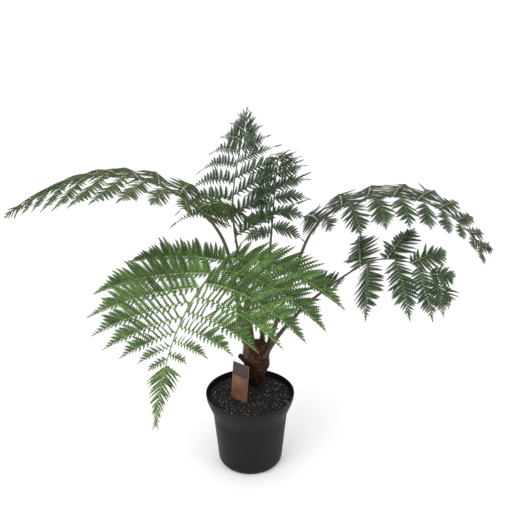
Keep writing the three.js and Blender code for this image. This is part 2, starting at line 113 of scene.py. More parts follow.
@dataclass
class Skin:
    """Points, faces and paints gathered for one piece.

    Every surface is a grid of points: rows run one way, columns the other, and many equal grids are
    added in one call. UV runs 0 to 1 across the columns and 0 to 1 along the rows.
    """

    points: list[Array] = field(default_factory=list)
    faces: list[Array] = field(default_factory=list)
    corners: list[Array] = field(default_factory=list)
    paints: list[Array] = field(default_factory=list)
    count: int = 0

    def grids(self, points: Array, wrap: bool = False, ends: bool = False,
              paint: Union[int, Array] = 0) -> None:
        """Adds equal grids, whose faces look along (next row) x (next column).

        Args:
            points: array of grids x rows x columns x 3, in millimetres.
            wrap: whether the last column joins the first.
            ends: whether the first and last rows are closed with a fan about their middle.
            paint: material number of each grid, or of all.
        """
        grids, rows, columns = points.shape[:3]
        across = columns if wrap else columns - 1
        row, column = np.meshgrid(np.arange(rows - 1), np.arange(across), indexing="ij")
        steps = [(0, 0), (1, 0), (1, 1), (0, 1)]
        quad = np.stack([(row + i) * columns + (column + j) % columns for i, j in steps], -1).reshape(-1, 4)
        place = [np.stack([(column + j) / across, (row + i) / (rows - 1)], -1) for i, j in steps]
        corner = np.stack(place, -2).reshape(-1, 4, 2)
        self._add(points.reshape(grids, -1, 3), quad, corner, paint)
        if ends:
            for fan_row, order in ((0, (0, 1, 2)), (rows - 1, (0, 2, 1))):
                self._fan(points[:, fan_row], order, paint, float(fan_row > 0))

    def _fan(self, ring: Array, order: tuple[int, ...], paint: Union[int, Array], level: float) -> None:
        """Closes rings of points with triangles about their middles.

        Args:
            ring: array of rings x columns x 3.
            order: how each triangle of middle, next and this point is turned.
            paint: material number of each ring, or of all.
            level: second UV value of the fan.
        """
        rings, columns = ring.shape[:2]
        column = np.arange(columns)
        triangle = np.stack([np.full(columns, columns), column, (column + 1) % columns], -1)[:, order]
        corner = np.zeros((columns, 3, 2))
        corner[..., 0] = ((column + 0.5) / columns)[:, None]
        corner[..., 1] = level
        points = np.concatenate([ring, ring.mean(1, keepdims=True)], 1)
        self._add(points.reshape(rings, -1, 3), triangle, corner, paint)

    def _add(self, points: Array, face: Array, corner: Array, paint: Union[int, Array]) -> None:
        """Adds the same faces over each block of points.

        Args:
            points: array of blocks x points x 3.
            face: point numbers of each face within a block.
            corner: UV of each face's corners.
            paint: material number of each block, or of all.
        """
        blocks, each = points.shape[:2]
        start = self.count + np.arange(blocks)[:, None, None] * each
        self.points.append(points.reshape(-1, 3))
        self.faces.append((face[None] + start).reshape(-1, face.shape[1]))
        self.corners.append(np.broadcast_to(corner, (blocks,) + corner.shape).reshape(-1, 2))
        numbers = np.broadcast_to(np.asarray(paint), (blocks,))
        self.paints.append(np.repeat(numbers, len(face)))
        self.count += blocks * each

    def mesh(self, name: str, smooth: bool) -> bpy.types.Mesh:
        """Makes the gathered surfaces a mesh, in metres.

        Args:
            name: the mesh's name.
            smooth: whether faces are shaded as one curved surface.

        Returns:
            The mesh, with one UV map.
        """
        mesh = bpy.data.meshes.new(name)
        points = np.concatenate(self.points) * MM
        sizes = np.concatenate([np.full(len(f), f.shape[1]) for f in self.faces])
        loops = np.concatenate([f.ravel() for f in self.faces])
        mesh.vertices.add(len(points))
        mesh.vertices.foreach_set("co", points.ravel())
        mesh.loops.add(len(loops))
        mesh.loops.foreach_set("vertex_index", loops)
        mesh.polygons.add(len(sizes))
        mesh.polygons.foreach_set("loop_start", np.concatenate([[0], np.cumsum(sizes)[:-1]]))
        mesh.polygons.foreach_set("loop_total", sizes)
        mesh.polygons.foreach_set("material_index", np.concatenate(self.paints))
        mesh.polygons.foreach_set("use_smooth", np.full(len(sizes), smooth))
        layer = mesh.uv_layers.new(name="surface")
        layer.data.foreach_set("uv", np.concatenate(self.corners).ravel())
        mesh.update(calc_edges=True)
        mesh.validate()
        return mesh


def place_object(name: str, data: Any) -> bpy.types.Object:
    """Makes an object of a mesh, lamp or camera and links it into the scene.

    Args:
        name: the object's name.
        data: its mesh, lamp or camera.

    Returns:
        The object.
    """
    made = bpy.data.objects.new(name, data)
    bpy.context.scene.collection.objects.link(made)
    return made


def make_piece(name: str, skin: Skin, finishes: Sequence["Finish"],
               nodes: Iterable[str] = (), smooth: bool = True) -> bpy.types.Object:
    """Makes one piece of the plant from a skin and hands it to the frame.

    Args:
        name: the piece's name.
        skin: its surfaces.
        finishes: its finishes, in the order of the skin's paint numbers.
        nodes: the solids it stands for.
        smooth: whether it is shaded as a curved surface.

    Returns:
        The object.
    """
    mesh = skin.mesh(name, smooth)
    for finish in finishes:
        mesh.materials.append(finish.material())
    piece = place_object(name, mesh)
    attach(piece, "root")
    if nodes:
        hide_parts(*nodes)
    triangles = sum(len(f) * (f.shape[1] - 2) for f in skin.faces)
    log.info("%s: %d triangles, %d finishes", name, triangles, len(mesh.materials))
    return piece


@dataclass
class Track:
    """Points with a direction along, one across and one out of the face, on equal steps."""

    point: Array
    along: Array
    across: Array
    face: Array

    def at(self, share: Array) -> "Track":
        """The track at other places.

        Between two steps, points and directions are blended in a straight line.

        Args:
            share: places, 0 at the first step and 1 at the last.

        Returns:
            A track with one step for each place.
        """
        steps = self.point.shape[-2] - 1
        at = np.clip(np.asarray(share, float), 0.0, 1.0) * steps
        low = np.minimum(np.floor(at).astype(int), steps - 1)
        part = (at - low)[..., None]
        blend = [mix(v[low], v[low + 1], part) for v in (self.point, self.along, self.across, self.face)]
        return Track(blend[0], unit(blend[1]), unit(blend[2]), unit(blend[3]))


def compass(angle: Array) -> Array:
    """Level directions at angles from +X."""
    return np.stack([np.cos(angle), np.sin(angle), 0 * angle], -1)


def tubes(point: Array, across: Array, face: Array, radius: Array, columns: int) -> Array:
    """Round limbs: about each point a ring, radius times (face cos a - across sin a).

    Args:
        point: array of limbs x rows x 3.
        across: sideways directions of the same shape.
        face: upper directions of the same shape.
        radius: array of limbs x rows.
        columns: points in a ring.

    Returns:
        Grids of limbs x rows x columns x 3.
    """
    angle = 2 * np.pi * np.arange(columns) / columns
    ring = face[..., None, :] * np.cos(angle)[:, None] - across[..., None, :] * np.sin(angle)[:, None]
    return point[..., None, :] + ring * radius[..., None, None]


def turned(profile: Array, columns: int) -> Array:
    """A surface of revolution about +Z: each (radius, height) goes round in equal steps.

    Args:
        profile: array of rows x 2, which runs so that the outside is on its right.
        columns: steps round the axis.

    Returns:
        One grid of 1 x rows x columns x 3.
    """
    angle = -2 * np.pi * np.arange(columns) / columns
    radius, height = profile[:, :1], profile[:, 1:]
    grid = np.stack([radius * np.cos(angle), radius * np.sin(angle), height + 0 * angle], -1)
    return grid[None]


LUMP_RINGS = ((0.6, -0.8), (1.0, 0.05), (0.55, 0.8))
LUMP_SIDES = 5
LUMP_UNEVEN = 0.3


def lumps(centre: Array, size: Array, seed: int) -> Array:
    """Small uneven lumps: rings of points about each centre, each point moved in or out at random.

    LUMP_RINGS has the reach and the level of each ring, as shares of the lump's half size.

    Args:
        centre: array of lumps x 3.
        size: array of lumps x 3, half sizes along X, Y and Z.
        seed: number that picks the unevenness.

    Returns:
        Grids of lumps x rings x sides x 3.
    """
    rng = np.random.default_rng(seed)
    shape = turned(np.array(LUMP_RINGS), LUMP_SIDES)
    uneven = 1 + rng.uniform(-LUMP_UNEVEN, LUMP_UNEVEN, (len(centre), *shape.shape[1:3], 1))
    turn = rng.uniform(0, 2 * np.pi, (len(centre), 1, 1))
    grid = shape * uneven * size[:, None, None]
    x = grid[..., 0] * np.cos(turn) - grid[..., 1] * np.sin(turn)
    y = grid[..., 0] * np.sin(turn) + grid[..., 1] * np.cos(turn)
    return np.stack([x, y, grid[..., 2]], -1) + centre[:, None, None]


# ---- Shaders ----


class Value:
    """A shader socket that takes part in Python sums."""

    def __init__(self, recipe: "Recipe", socket: bpy.types.NodeSocket) -> None:
        """Keeps the socket and the recipe that it belongs to."""
        self.recipe = recipe
        self.socket = socket

    def __add__(self, other: "Number") -> "Value":
        """Sum."""
        return self.recipe.maths("ADD", self, other)

    __radd__ = __add__

    def __mul__(self, other: "Number") -> "Value":
        """Product."""
        return self.recipe.maths("MULTIPLY", self, other)

    __rmul__ = __mul__

    def __sub__(self, other: "Number") -> "Value":
        """Difference."""
        return self.recipe.maths("SUBTRACT", self, other)

    def __rsub__(self, other: "Number") -> "Value":
        """Difference the other way round, as in 1 - value."""
        return self.recipe.maths("SUBTRACT", other, self)

    def span(self, low: float, high: float) -> "Value":
        """0 at or below low, 1 at or above high, and a straight line between."""
        inputs = {"Value": self, "From Min": low, "From Max": high}
        return self.recipe.out("ShaderNodeMapRange", {"clamp": True}, inputs)


Number = Union[Value, float]


@dataclass(frozen=True)
class Noise:
    """Soft noise of one size.

    scale is in waves for each metre, stretch is along each axis, and span has the values that
    become 0 and 1, if it is to be cut to them.
    """

    scale: float
    detail: float = 3.0
    stretch: Triple = (1.0, 1.0, 1.0)
    span: Pair | None = None


@dataclass(frozen=True)
class Relief:
    """How a surface's height becomes light and shade; depth is the height of 1, in metres."""

    depth: float
    strength: float


class Recipe:
    """The node tree of one material."""

    def __init__(self, name: str) -> None:
        """Starts an empty material of this name.

        Args:
            name: the material's name.
        """
        self.made = bpy.data.materials.new(name)
        self.made.use_nodes = True
        self.tree = self.made.node_tree
        self.tree.nodes.clear()

    def node(self, kind: str, settings: dict[str, Any] | None = None,
             inputs: dict[str, Any] | None = None) -> bpy.types.Node:
        """Adds any node.

        Args:
            kind: the node's type.
            settings: its own settings, set first.
            inputs: values or links of its sockets, by name or identifier.

        Returns:
            The node.
        """
        made = self.tree.nodes.new(kind)
        for key, setting in (settings or {}).items():
            setattr(made, key, setting)
        for key, value in (inputs or {}).items():
            self._feed(next(s for s in made.inputs if key in (s.identifier, s.name) and s.enabled), value)
        return made

    def _feed(self, socket: bpy.types.NodeSocket, value: Any) -> None:
        """Links a value to a socket, or sets the socket to a number, a vector or a colour.

        Args:
            socket: the socket.
            value: another socket's value, a number, or a tuple.
        """
        if isinstance(value, Value):
            self.tree.links.new(value.socket, socket)
        elif isinstance(value, tuple) and socket.type == "RGBA":
            socket.default_value = (*value, 1.0)
        else:
            socket.default_value = value

    def out(self, kind: str, settings: dict[str, Any] | None = None,
            inputs: dict[str, Any] | None = None, output: str | None = None) -> Value:
        """Adds a node and gives one of its outputs, the first if it isn't named.

        Args:
            kind: the node's type.
            settings: its own settings.
            inputs: values or links of its sockets.
            output: name or identifier of the output.

        Returns:
            The output's value.
        """
        made = self.node(kind, settings, inputs)
        found = made.outputs[0] if output is None else next(
            s for s in made.outputs if output in (s.identifier, s.name) and s.enabled)
        return Value(self, found)

    def maths(self, operation: str, first: Number, second: Number) -> Value:
        """A Math node on two numbers.

        Args:
            operation: the node's operation.
            first: first number.
            second: second number.

        Returns:
            The result.
        """
        made = self.node("ShaderNodeMath", {"operation": operation})
        for socket, value in zip(made.inputs, (first, second)):
            self._feed(socket, value)
        return Value(self, made.outputs[0])

    def colour(self, first: Union[Value, RGB], second: Union[Value, RGB], share: Number) -> Value:
        """A blend of two colours."""
        inputs = {"Factor_Float": share, "A_Color": first, "B_Color": second}
        return self.out("ShaderNodeMix", {"data_type": "RGBA"}, inputs, "Result_Color")

    def place(self, stretch: Triple = (1.0, 1.0, 1.0)) -> Value:
        """Object coordinates, stretched along each axis."""
        coordinates = self.out("ShaderNodeTexCoord", output="Object")
        return self.out("ShaderNodeMapping", None, {"Vector": coordinates, "Scale": stretch})

    def noise(self, noise: Noise) -> Value:
        """Soft noise on Object coordinates.

        Args:
            noise: its size, detail, stretch and cut.

        Returns:
            Values of 0 to 1.
        """
        inputs = {"Vector": self.place(noise.stretch), "Scale": noise.scale, "Detail": noise.detail}
        value = self.out("ShaderNodeTexNoise", None, inputs, "Fac")
        return value.span(*noise.span) if noise.span else value

    def cells(self, scale: float) -> Value:
        """Distance from the nearest point of a random scatter, on Object coordinates."""
        return self.out("ShaderNodeTexVoronoi", None, {"Vector": self.place(), "Scale": scale}, "Distance")

    def bump(self, height: Value, relief: Relief) -> Value:
        """A normal from a height."""
        inputs = {"Height": height, "Distance": relief.depth, "Strength": relief.strength}
        return self.out("ShaderNodeBump", None, inputs)

    def finish(self, **sockets: Any) -> bpy.types.Material:
        """Closes the material with a Principled shader.

        Args:
            sockets: its socket values and links, with _ for a space in their names.

        Returns:
            The material.
        """
        inputs = {key.replace("_", " "): value for key, value in sockets.items()}
        shader = self.out("ShaderNodeBsdfPrincipled", None, inputs, "BSDF")
        self.node("ShaderNodeOutputMaterial", None, {"Surface": shader})
        return self.made


class Finish:
    """A surface finish, made into a material once."""

    name: str
    kept: dict[str, bpy.types.Material] = {}

    def material(self) -> bpy.types.Material:
        """The finish's material.

        Returns:
            The material, made at the first call.
        """
        if self.name not in Finish.kept:
            Finish.kept[self.name] = self.make(Recipe(self.name))
        return Finish.kept[self.name]

    def make(self, recipe: Recipe) -> bpy.types.Material:
        """Builds the material; each finish has its own way."""
        raise NotImplementedError


@dataclass(frozen=True)
class PotPlastic(Finish):
    """Moulded black plastic with a fine grain, faint scuffs and a breath of dust."""

    name: str = "pot_plastic"
    colour: RGB = display(10, 11, 16)
    worn: RGB = display(16, 17, 23)
    dust: RGB = display(70, 70, 68)
    dusty: float = 0.35
    smooth: float = 0.5
    rough: float = 0.16
    shine: float = 0.2
    scuffs: Noise = Noise(14, 5, (1.0, 1.0, 0.35), (0.42, 0.72))
    specks: Noise = Noise(260, 2, span=(0.66, 0.8))
    grain: Noise = Noise(1400, 2)
    relief: Relief = Relief(0.00008, 0.5)

    def make(self, recipe: Recipe) -> bpy.types.Material:
        """Colour from broad scuffs and fine dust, roughness from the scuffs, relief from the grain.

        Args:
            recipe: the node tree to build in.

        Returns:
            The material.
        """
        scuffs = recipe.noise(self.scuffs)
        dust = recipe.noise(self.specks) * self.dusty
        base = recipe.colour(recipe.colour(self.colour, self.worn, scuffs), self.dust, dust)
        return recipe.finish(Base_Color=base, Roughness=self.smooth + self.rough * scuffs,
                             Specular_IOR_Level=self.shine,
                             Normal=recipe.bump(recipe.noise(self.grain), self.relief))


@dataclass(frozen=True)
class Compost(Finish):
    """Moist dark compost."""

    name: str = "compost"
    dark: RGB = display(11, 10, 10)
    light: RGB = display(38, 35, 34)
    crumbs: float = 420.0
    crumbling: float = 0.6
    pale: Pair = (0.12, 0.55)
    damp: Noise = Noise(45, 4)
    grit: Noise = Noise(700, 4)
    relief: Relief = Relief(0.0012, 0.9)
    roughness: float = 0.95

    def make(self, recipe: Recipe) -> bpy.types.Material:
        """Crumbs from cells, patches of damp from noise.

        Args:
            recipe: the node tree to build in.

        Returns:
            The material.
        """
        crumbs = recipe.cells(self.crumbs)
        shade = (crumbs * recipe.noise(self.damp)).span(*self.pale)
        height = recipe.noise(self.grit) + self.crumbling * crumbs
        return recipe.finish(Base_Color=recipe.colour(self.dark, self.light, shade),
                             Roughness=self.roughness, Normal=recipe.bump(height, self.relief))


@dataclass(frozen=True)
class Crumb(Finish):
    """Bark chips, perlite or dry bits: one colour with a paler dusting."""

    name: str
    colour: RGB
    pale: RGB
    grain: Noise = Noise(900, 3)
    dusting: Pair = (0.4, 0.7)
    relief: Relief = Relief(0.0004, 0.6)
    roughness: float = 0.9

    def make(self, recipe: Recipe) -> bpy.types.Material:
        """Colour from fine noise, relief from the same.

        Args:
            recipe: the node tree to build in.

        Returns:
            The material.
        """
        grain = recipe.noise(self.grain)
        base = recipe.colour(self.colour, self.pale, grain.span(*self.dusting))
        return recipe.finish(Base_Color=base, Roughness=self.roughness,
                             Normal=recipe.bump(grain, self.relief))


@dataclass(frozen=True)
class FibrousBark(Finish):
    """Matted brown root fibres with a few tan hairs, and painted shade darkening the hollows between them."""

    name: str = "fibrous_bark"
    # hollow is the colour of the painted shade in the hollows between the fibres
    hollow: RGB = display(30, 18, 12)
    fibre: RGB = display(80, 50, 31)
    tan: RGB = display(126, 84, 46)
    streaks: Noise = Noise(520, 4, (1.0, 1.0, 0.16))
    pale: Pair = (0.36, 0.62)
    hollow_shade: Noise = Noise(90, 3, span=(0.36, 0.62))
    hairs: Noise = Noise(900, 2, (1.0, 1.0, 0.1), (0.62, 0.7))
    hairy: float = 0.55
    relief: Relief = Relief(0.0022, 0.8)
    roughness: float = 0.92
    shine: float = 0.15

    def make(self, recipe: Recipe) -> bpy.types.Material:
        """Long upright streaks of noise for fibres, darkened by painted shade where they dip, and broad noise
        for painted shade in hollows.

        Args:
            recipe: the node tree to build in.

        Returns:
            The material.
        """
        streaks = recipe.noise(self.streaks)
        fibres = streaks.span(*self.pale) * recipe.noise(self.hollow_shade)
        brown = recipe.colour(self.hollow, self.fibre, fibres)
        base = recipe.colour(brown, self.tan, recipe.noise(self.hairs) * self.hairy)
        return recipe.finish(Base_Color=base, Roughness=self.roughness, Specular_IOR_Level=self.shine,
                             Normal=recipe.bump(streaks, self.relief))


@dataclass(frozen=True)
class StipeSkin(Finish):
    """The skin of a stipe: scaly brown at the foot, going over to its blade's green-brown."""

    name: str
    upper: RGB
    foot: RGB = display(62, 45, 33)
    fleck: RGB = display(34, 25, 19)
    change: Pair = (0.22, 0.62)
    uneven: float = 0.25
    flecked: float = 0.7
    clearing: float = 0.7
    streaks: Noise = Noise(380, 3, (1.0, 1.0, 0.2))
    flecks: Noise = Noise(700, 2, (1.0, 1.0, 0.35), (0.55, 0.66))
    relief: Relief = Relief(0.0006, 0.6)
    roughness: float = 0.7

    def make(self, recipe: Recipe) -> bpy.types.Material:
        """The change follows the stipe's own length; streaks and dark flecks lie over it.

        Args:
            recipe: the node tree to build in.

        Returns:
            The material.
        """
        length = recipe.out("ShaderNodeSeparateXYZ", None,
                            {"Vector": recipe.out("ShaderNodeTexCoord", output="UV")}, "Y")
        streaks = recipe.noise(self.streaks)
        along = (length + self.uneven * streaks).span(*self.change)
        base = recipe.colour(self.foot, self.upper, along)
        flecks = recipe.noise(self.flecks) * (1.0 - self.clearing * along)
        shaded = recipe.colour(base, self.fleck, self.flecked * flecks)
        return recipe.finish(Base_Color=shaded, Roughness=self.roughness,
                             Normal=recipe.bump(streaks, self.relief))


@dataclass(frozen=True)
class Leaf(Finish):
    """Green leaf tissue, matt, with a fine mottle."""

    name: str
    colour: RGB
    dark: float = 0.5
    light: float = 1.45
    mottle: Noise = Noise(330, 2, span=(0.38, 0.62))
    roughness: float = 0.55
    shine: float = 0.2

    def make(self, recipe: Recipe) -> bpy.types.Material:
        """A fine mottle about one green.

        Args:
            recipe: the node tree to build in.

        Returns:
            The material.
        """
        dark, light = (tuple(level * c for c in self.colour) for level in (self.dark, self.light))
        return recipe.finish(Base_Color=recipe.colour(dark, light, recipe.noise(self.mottle)),
                             Roughness=self.roughness, Specular_IOR_Level=self.shine)


@dataclass(frozen=True)
class RibSkin(Finish):
    """The firm skin of ribs and veins."""

    name: str
    colour: RGB
    light: float = 1.3
    streaks: Noise = Noise(300, 2, span=(0.4, 0.7))
    roughness: float = 0.5

    def make(self, recipe: Recipe) -> bpy.types.Material:
        """One colour with short paler streaks.

        Args:
            recipe: the node tree to build in.

        Returns:
            The material.
        """
        pale = tuple(min(1.0, self.light * c) for c in self.colour)
        return recipe.finish(Base_Color=recipe.colour(self.colour, pale, recipe.noise(self.streaks)),
                             Roughness=self.roughness)


@dataclass(frozen=True)
class Card(Finish):
    """Laminated card with faint rubbing."""

    name: str
    colour: RGB
    rubbed: RGB
    rubbing: Noise = Noise(55, 4)
    pale: Pair = (0.35, 0.75)
    ripple: Noise = Noise(40, 1)
    relief: Relief = Relief(0.0004, 0.4)
    smooth: float = 0.38
    rough: float = 0.2

    def make(self, recipe: Recipe) -> bpy.types.Material:
        """Broad soft rubbing over one colour, and a shallow ripple of the laminate.

        Args:
            recipe: the node tree to build in.

        Returns:
            The material.
        """
        rubbing = recipe.noise(self.rubbing)
        base = recipe.colour(self.colour, self.rubbed, rubbing.span(*self.pale))
        return recipe.finish(Base_Color=base, Roughness=self.smooth + self.rough * rubbing,
                             Normal=recipe.bump(recipe.noise(self.ripple), self.relief))


@dataclass(frozen=True)
class PlainFloor(Finish):
    """A plain pale floor."""

    name: str = "plain_floor"
    colour: RGB = (0.95, 0.95, 0.95)
    pale: RGB = (0.97, 0.97, 0.97)
    drift: Noise = Noise(0.6, 1)
    roughness: float = 0.9

    def make(self, recipe: Recipe) -> bpy.types.Material:
        """One pale colour with the faintest unevenness, and no shine.

        Args:
            recipe: the node tree to build in.

        Returns:
            The material.
        """
        base = recipe.colour(self.colour, self.pale, recipe.noise(self.drift))
        return recipe.finish(Base_Color=base, Roughness=self.roughness, Specular_IOR_Level=0.0)


# ---- Pot, compost and label ----


@dataclass(frozen=True)
class Pot:
    """The round nursery pot: rounded lower corner, straight body, flaring collar.

    collar has the heights where its rows start and end, lip is half the height of the rim's rounding,
    flat is the share of the base's radius that is level, and fillet draws in the well's corner. rows
    has the rows of the corner, the body, the collar and the rim's rounding.
    """

    height: float = 180.0
    base_radius: float = 62.0
    corner_radius: float = 74.0
    corner_height: float = 20.0
    shoulder_radius: float = 83.0
    shoulder_height: float = 116.0
    rim_radius: float = 100.0
    collar: Pair = (117.0, 178.8)
    lip: float = 1.1
    wall: float = 2.2
    floor: float = 3.0
    flat: float = 0.96
    fillet: float = 1.0
    rows: tuple[int, int, int, int] = (10, 10, 22, 7)
    columns: int = 192

    def radius(self, height: Array) -> Array:
        """Outside radius at a height.

        A quarter ellipse up to the corner's top, a straight line to the shoulder, and above it half
        a cosine wave out to the rim.

        Args:
            height: heights above the underside.

        Returns:
            Radii of the same shape.
        """
        sink = 1 - np.clip(height / self.corner_height, 0, 1)
        corner = mix(self.base_radius, self.corner_radius, np.sqrt(1 - sink**2))
        rise = (height - self.corner_height) / (self.shoulder_height - self.corner_height)
        body = mix(self.corner_radius, self.shoulder_radius, rise)
        lift = np.clip((height - self.shoulder_height) / (self.height - self.shoulder_height), 0, 1)
        collar = mix(self.shoulder_radius, self.rim_radius, (1 - np.cos(np.pi * lift)) / 2)
        return np.where(height < self.corner_height, corner, np.where(rise <= 1, body, collar))

    def profile(self) -> Array:
        """The closed outline of the wall, from the axis below, up outside, down inside, to the axis.

        Returns:
            Array of rows x 2, radius and height.
        """
        corner_rows, body_rows, collar_rows, lip_rows = self.rows
        corner = self.corner_height * (1 - np.cos(np.linspace(0, np.pi / 2, corner_rows)))
        body = np.linspace(self.corner_height, self.shoulder_height, body_rows)[1:]
        outside = np.concatenate([corner, body, np.linspace(*self.collar, collar_rows)])
        inside = outside[::-1][outside[::-1] > self.floor]
        outer = np.stack([self.radius(outside), outside], -1)
        inner = np.stack([self.radius(inside) - self.wall, inside], -1)
        turn = np.linspace(0, np.pi, lip_rows)
        half = self.wall / 2
        lip = np.stack([self.rim_radius - half + half * np.cos(turn),
                        self.height - self.lip + self.lip * np.sin(turn)], -1)
        bottom = np.array([[0.0, 0.0], [self.flat * self.base_radius, 0.0]])
        well = np.array([[inner[-1, 0] - self.fillet, self.floor], [0.0, self.floor]])
        return np.concatenate([bottom, outer, lip, inner, well])

    def build(self) -> None:
        """Makes the pot."""
        skin = Skin()
        skin.grids(turned(self.profile(), self.columns), wrap=True)
        make_piece("nursery_pot", skin, [PotPlastic()], ["pot"])


@dataclass(frozen=True)
class Litter:
    """Small things strewn over the compost: how many, their half sizes and their finish."""

    name: str
    count: int
    sizes: Pair
    finish: Crumb


LITTER = (
    Litter("compost_crumbs", 1500, (0.8, 2.4), Crumb("dark_crumb", display(15, 14, 14), display(42, 39, 37))),
    Litter("bark_chips", 170, (1.2, 2.4), Crumb("bark_chip", display(34, 26, 22), display(62, 50, 42))),
    Litter("perlite_grains", 480, (0.45, 1.05),
           Crumb("perlite", display(165, 163, 160), display(225, 224, 220))),
)


@dataclass(frozen=True)
class PottingMix:
    """The compost in the pot with its crumbs, bark chips and perlite.

    waves has the size, the share and the seed of each unevenness of the surface; rough and cling are
    how much of the relief is unevenness and how much is sinking to the wall; levels are the heights
    of the rows that run down the wall; sink is how far a crumb sits in, as a share of its size.
    """

    pot: Pot
    litter: tuple[Litter, ...] = LITTER
    level: float = 168.0
    sunk: float = 1.6
    relief: float = 2.2
    waves: tuple[tuple[int, float, int], ...] = ((17, 0.6, 3), (6, 0.4, 4))
    rough: float = 0.6
    cling: float = 0.5
    clearance: float = 0.6
    margin: float = 3.0
    uneven: Pair = (0.6, 1.3)
    sink: float = 0.35
    levels: tuple[float, ...] = (150.0, 124.0, 112.0, 20.0, 6.0)
    rounding: float = 6.0
    lift: float = 0.4
    rings: int = 90
    columns: int = 220
    seed: int = 21
    shape_seed: int = 31

    @property
    def reach(self) -> float:
        """Radius of the compost's surface."""
        return float(self.inside(np.array(self.level)))

    def inside(self, height: Array) -> Array:
        """Radius of the compost at a height, clear of the pot's wall."""
        return self.pot.radius(height) - self.pot.wall - self.clearance

    def height(self, x: Array, y: Array) -> Array:
        """Height of the surface: smooth unevenness of two sizes, sinking a little to the wall.

        Args:
            x: places along X.
            y: places along Y, of the same shape.

        Returns:
            Heights of the same shape.
        """
        rough = sum(share * lattice(x / size, y / size, seed) for size, share, seed in self.waves)
        edge = np.hypot(x, y) / self.reach
        return self.level - self.sunk + self.relief * (self.rough * rough - self.cling * edge**4)

    def scatter(self, count: int, seed: int, sizes: Pair, sink: float) -> tuple[Array, Array]:
        """Places and half sizes of small things on the surface.

        Args:
            count: how many.
            seed: number that picks the places.
            sizes: smallest and largest half size.
            sink: how far each sits in, as a share of its size.

        Returns:
            Centres and half sizes, each count x 3.
        """
        rng = np.random.default_rng(seed)
        radius = (self.reach - self.margin) * np.sqrt(rng.uniform(0, 1, count))
        angle = rng.uniform(0, 2 * np.pi, count)
        x, y = radius * np.cos(angle), radius * np.sin(angle)
        size = rng.uniform(*sizes, (count, 1)) * rng.uniform(*self.uneven, (count, 3))
        centre = np.stack([x, y, self.height(x, y) + size[:, 2] * (1 - sink)], -1)
        return centre, size

    def build(self) -> None:
        """Makes the compost and what is strewn over it."""
        self._bed()
        for number, kind in enumerate(self.litter):
            skin = Skin()
            centre, size = self.scatter(kind.count, self.seed + number, kind.sizes, self.sink)
            skin.grids(lumps(centre, size, self.shape_seed + number), wrap=True, ends=True)
            make_piece(kind.name, skin, [kind.finish], smooth=False)

    def _bed(self) -> None:
        """The compost itself: a polar grid of the uneven surface, closed down the wall and below."""
        radius = np.linspace(0, self.reach, self.rings)[1:]
        angle = -2 * np.pi * np.arange(self.columns) / self.columns
        x, y = radius[:, None] * np.cos(angle), radius[:, None] * np.sin(angle)
        top = np.stack([x, y, self.height(x, y)], -1)[::-1]
        levels = np.array(self.levels)
        side = np.stack([self.inside(levels), levels], -1)
        base = np.array([[side[-1, 0] - self.rounding, self.pot.floor + self.lift]])
        below = turned(np.concatenate([side, base])[::-1], self.columns)[0]
        skin = Skin()
        skin.grids(np.concatenate([below, top])[None], wrap=True, ends=True)
        make_piece("compost_bed", skin, [Compost()], ["soil"])


@dataclass(frozen=True)
class Rootlets:
    """Short dry rootlets lying on the compost: thin tubes along a gentle arc.

    sizes only place their middles; bend is the most that one turns from end to end, in radians.
    """

    compost: PottingMix
    count: int = 26
    sizes: Pair = (0.5, 0.6)
    length: Pair = (5.0, 17.0)
    bend: float = 1.2
    radius: float = 0.32
    proud: float = 1.2
    margin: float = 2.0
    rows: int = 7
    sides: int = 5
    seed: int = 51

    def build(self) -> None:
        """Makes those that lie wholly inside the pot."""
        rng = np.random.default_rng(self.seed)
        centre, _ = self.compost.scatter(self.count, self.seed + 1, self.sizes, 0.0)
        heading = rng.uniform(0, 2 * np.pi, (self.count, 1))
        length = rng.uniform(*self.length, (self.count, 1))
        along = np.linspace(-0.5, 0.5, self.rows)[None]
        bend = heading + rng.uniform(-self.bend, self.bend, (self.count, 1)) * along
        x = centre[:, :1] + length * along * np.cos(bend)
        y = centre[:, 1:2] + length * along * np.sin(bend)
        inside = np.hypot(x, y).max(1) < self.compost.reach - self.margin
        point = np.stack([x, y, self.compost.height(x, y) + self.proud], -1)[inside]
        direction = unit(np.gradient(point, axis=1))
        across = unit(np.cross(direction, UP))
        radius = np.full(point.shape[:2], self.radius)
        skin = Skin()
        limbs = tubes(point, across, np.cross(across, direction), radius, self.sides)
        skin.grids(limbs, wrap=True, ends=True)
        finish = Crumb("dry_rootlet", display(120, 104, 84), display(168, 154, 132))
        make_piece("dry_rootlets", skin, [finish])


@dataclass(frozen=True)
class Panel:
    """One plain panel on the label's face: its lower and upper edge and its finish."""

    name: str
    low: float
    high: float
    finish: Card


PANELS = (
    Panel("label_upper_panel", 57.46, 87.4, Card("label_dark", display(48, 26, 24), display(80, 54, 50))),
    Panel("label_lower_panel", 2.0, 56.46, Card("label_copper", display(100, 62, 46), display(138, 92, 64))),
)


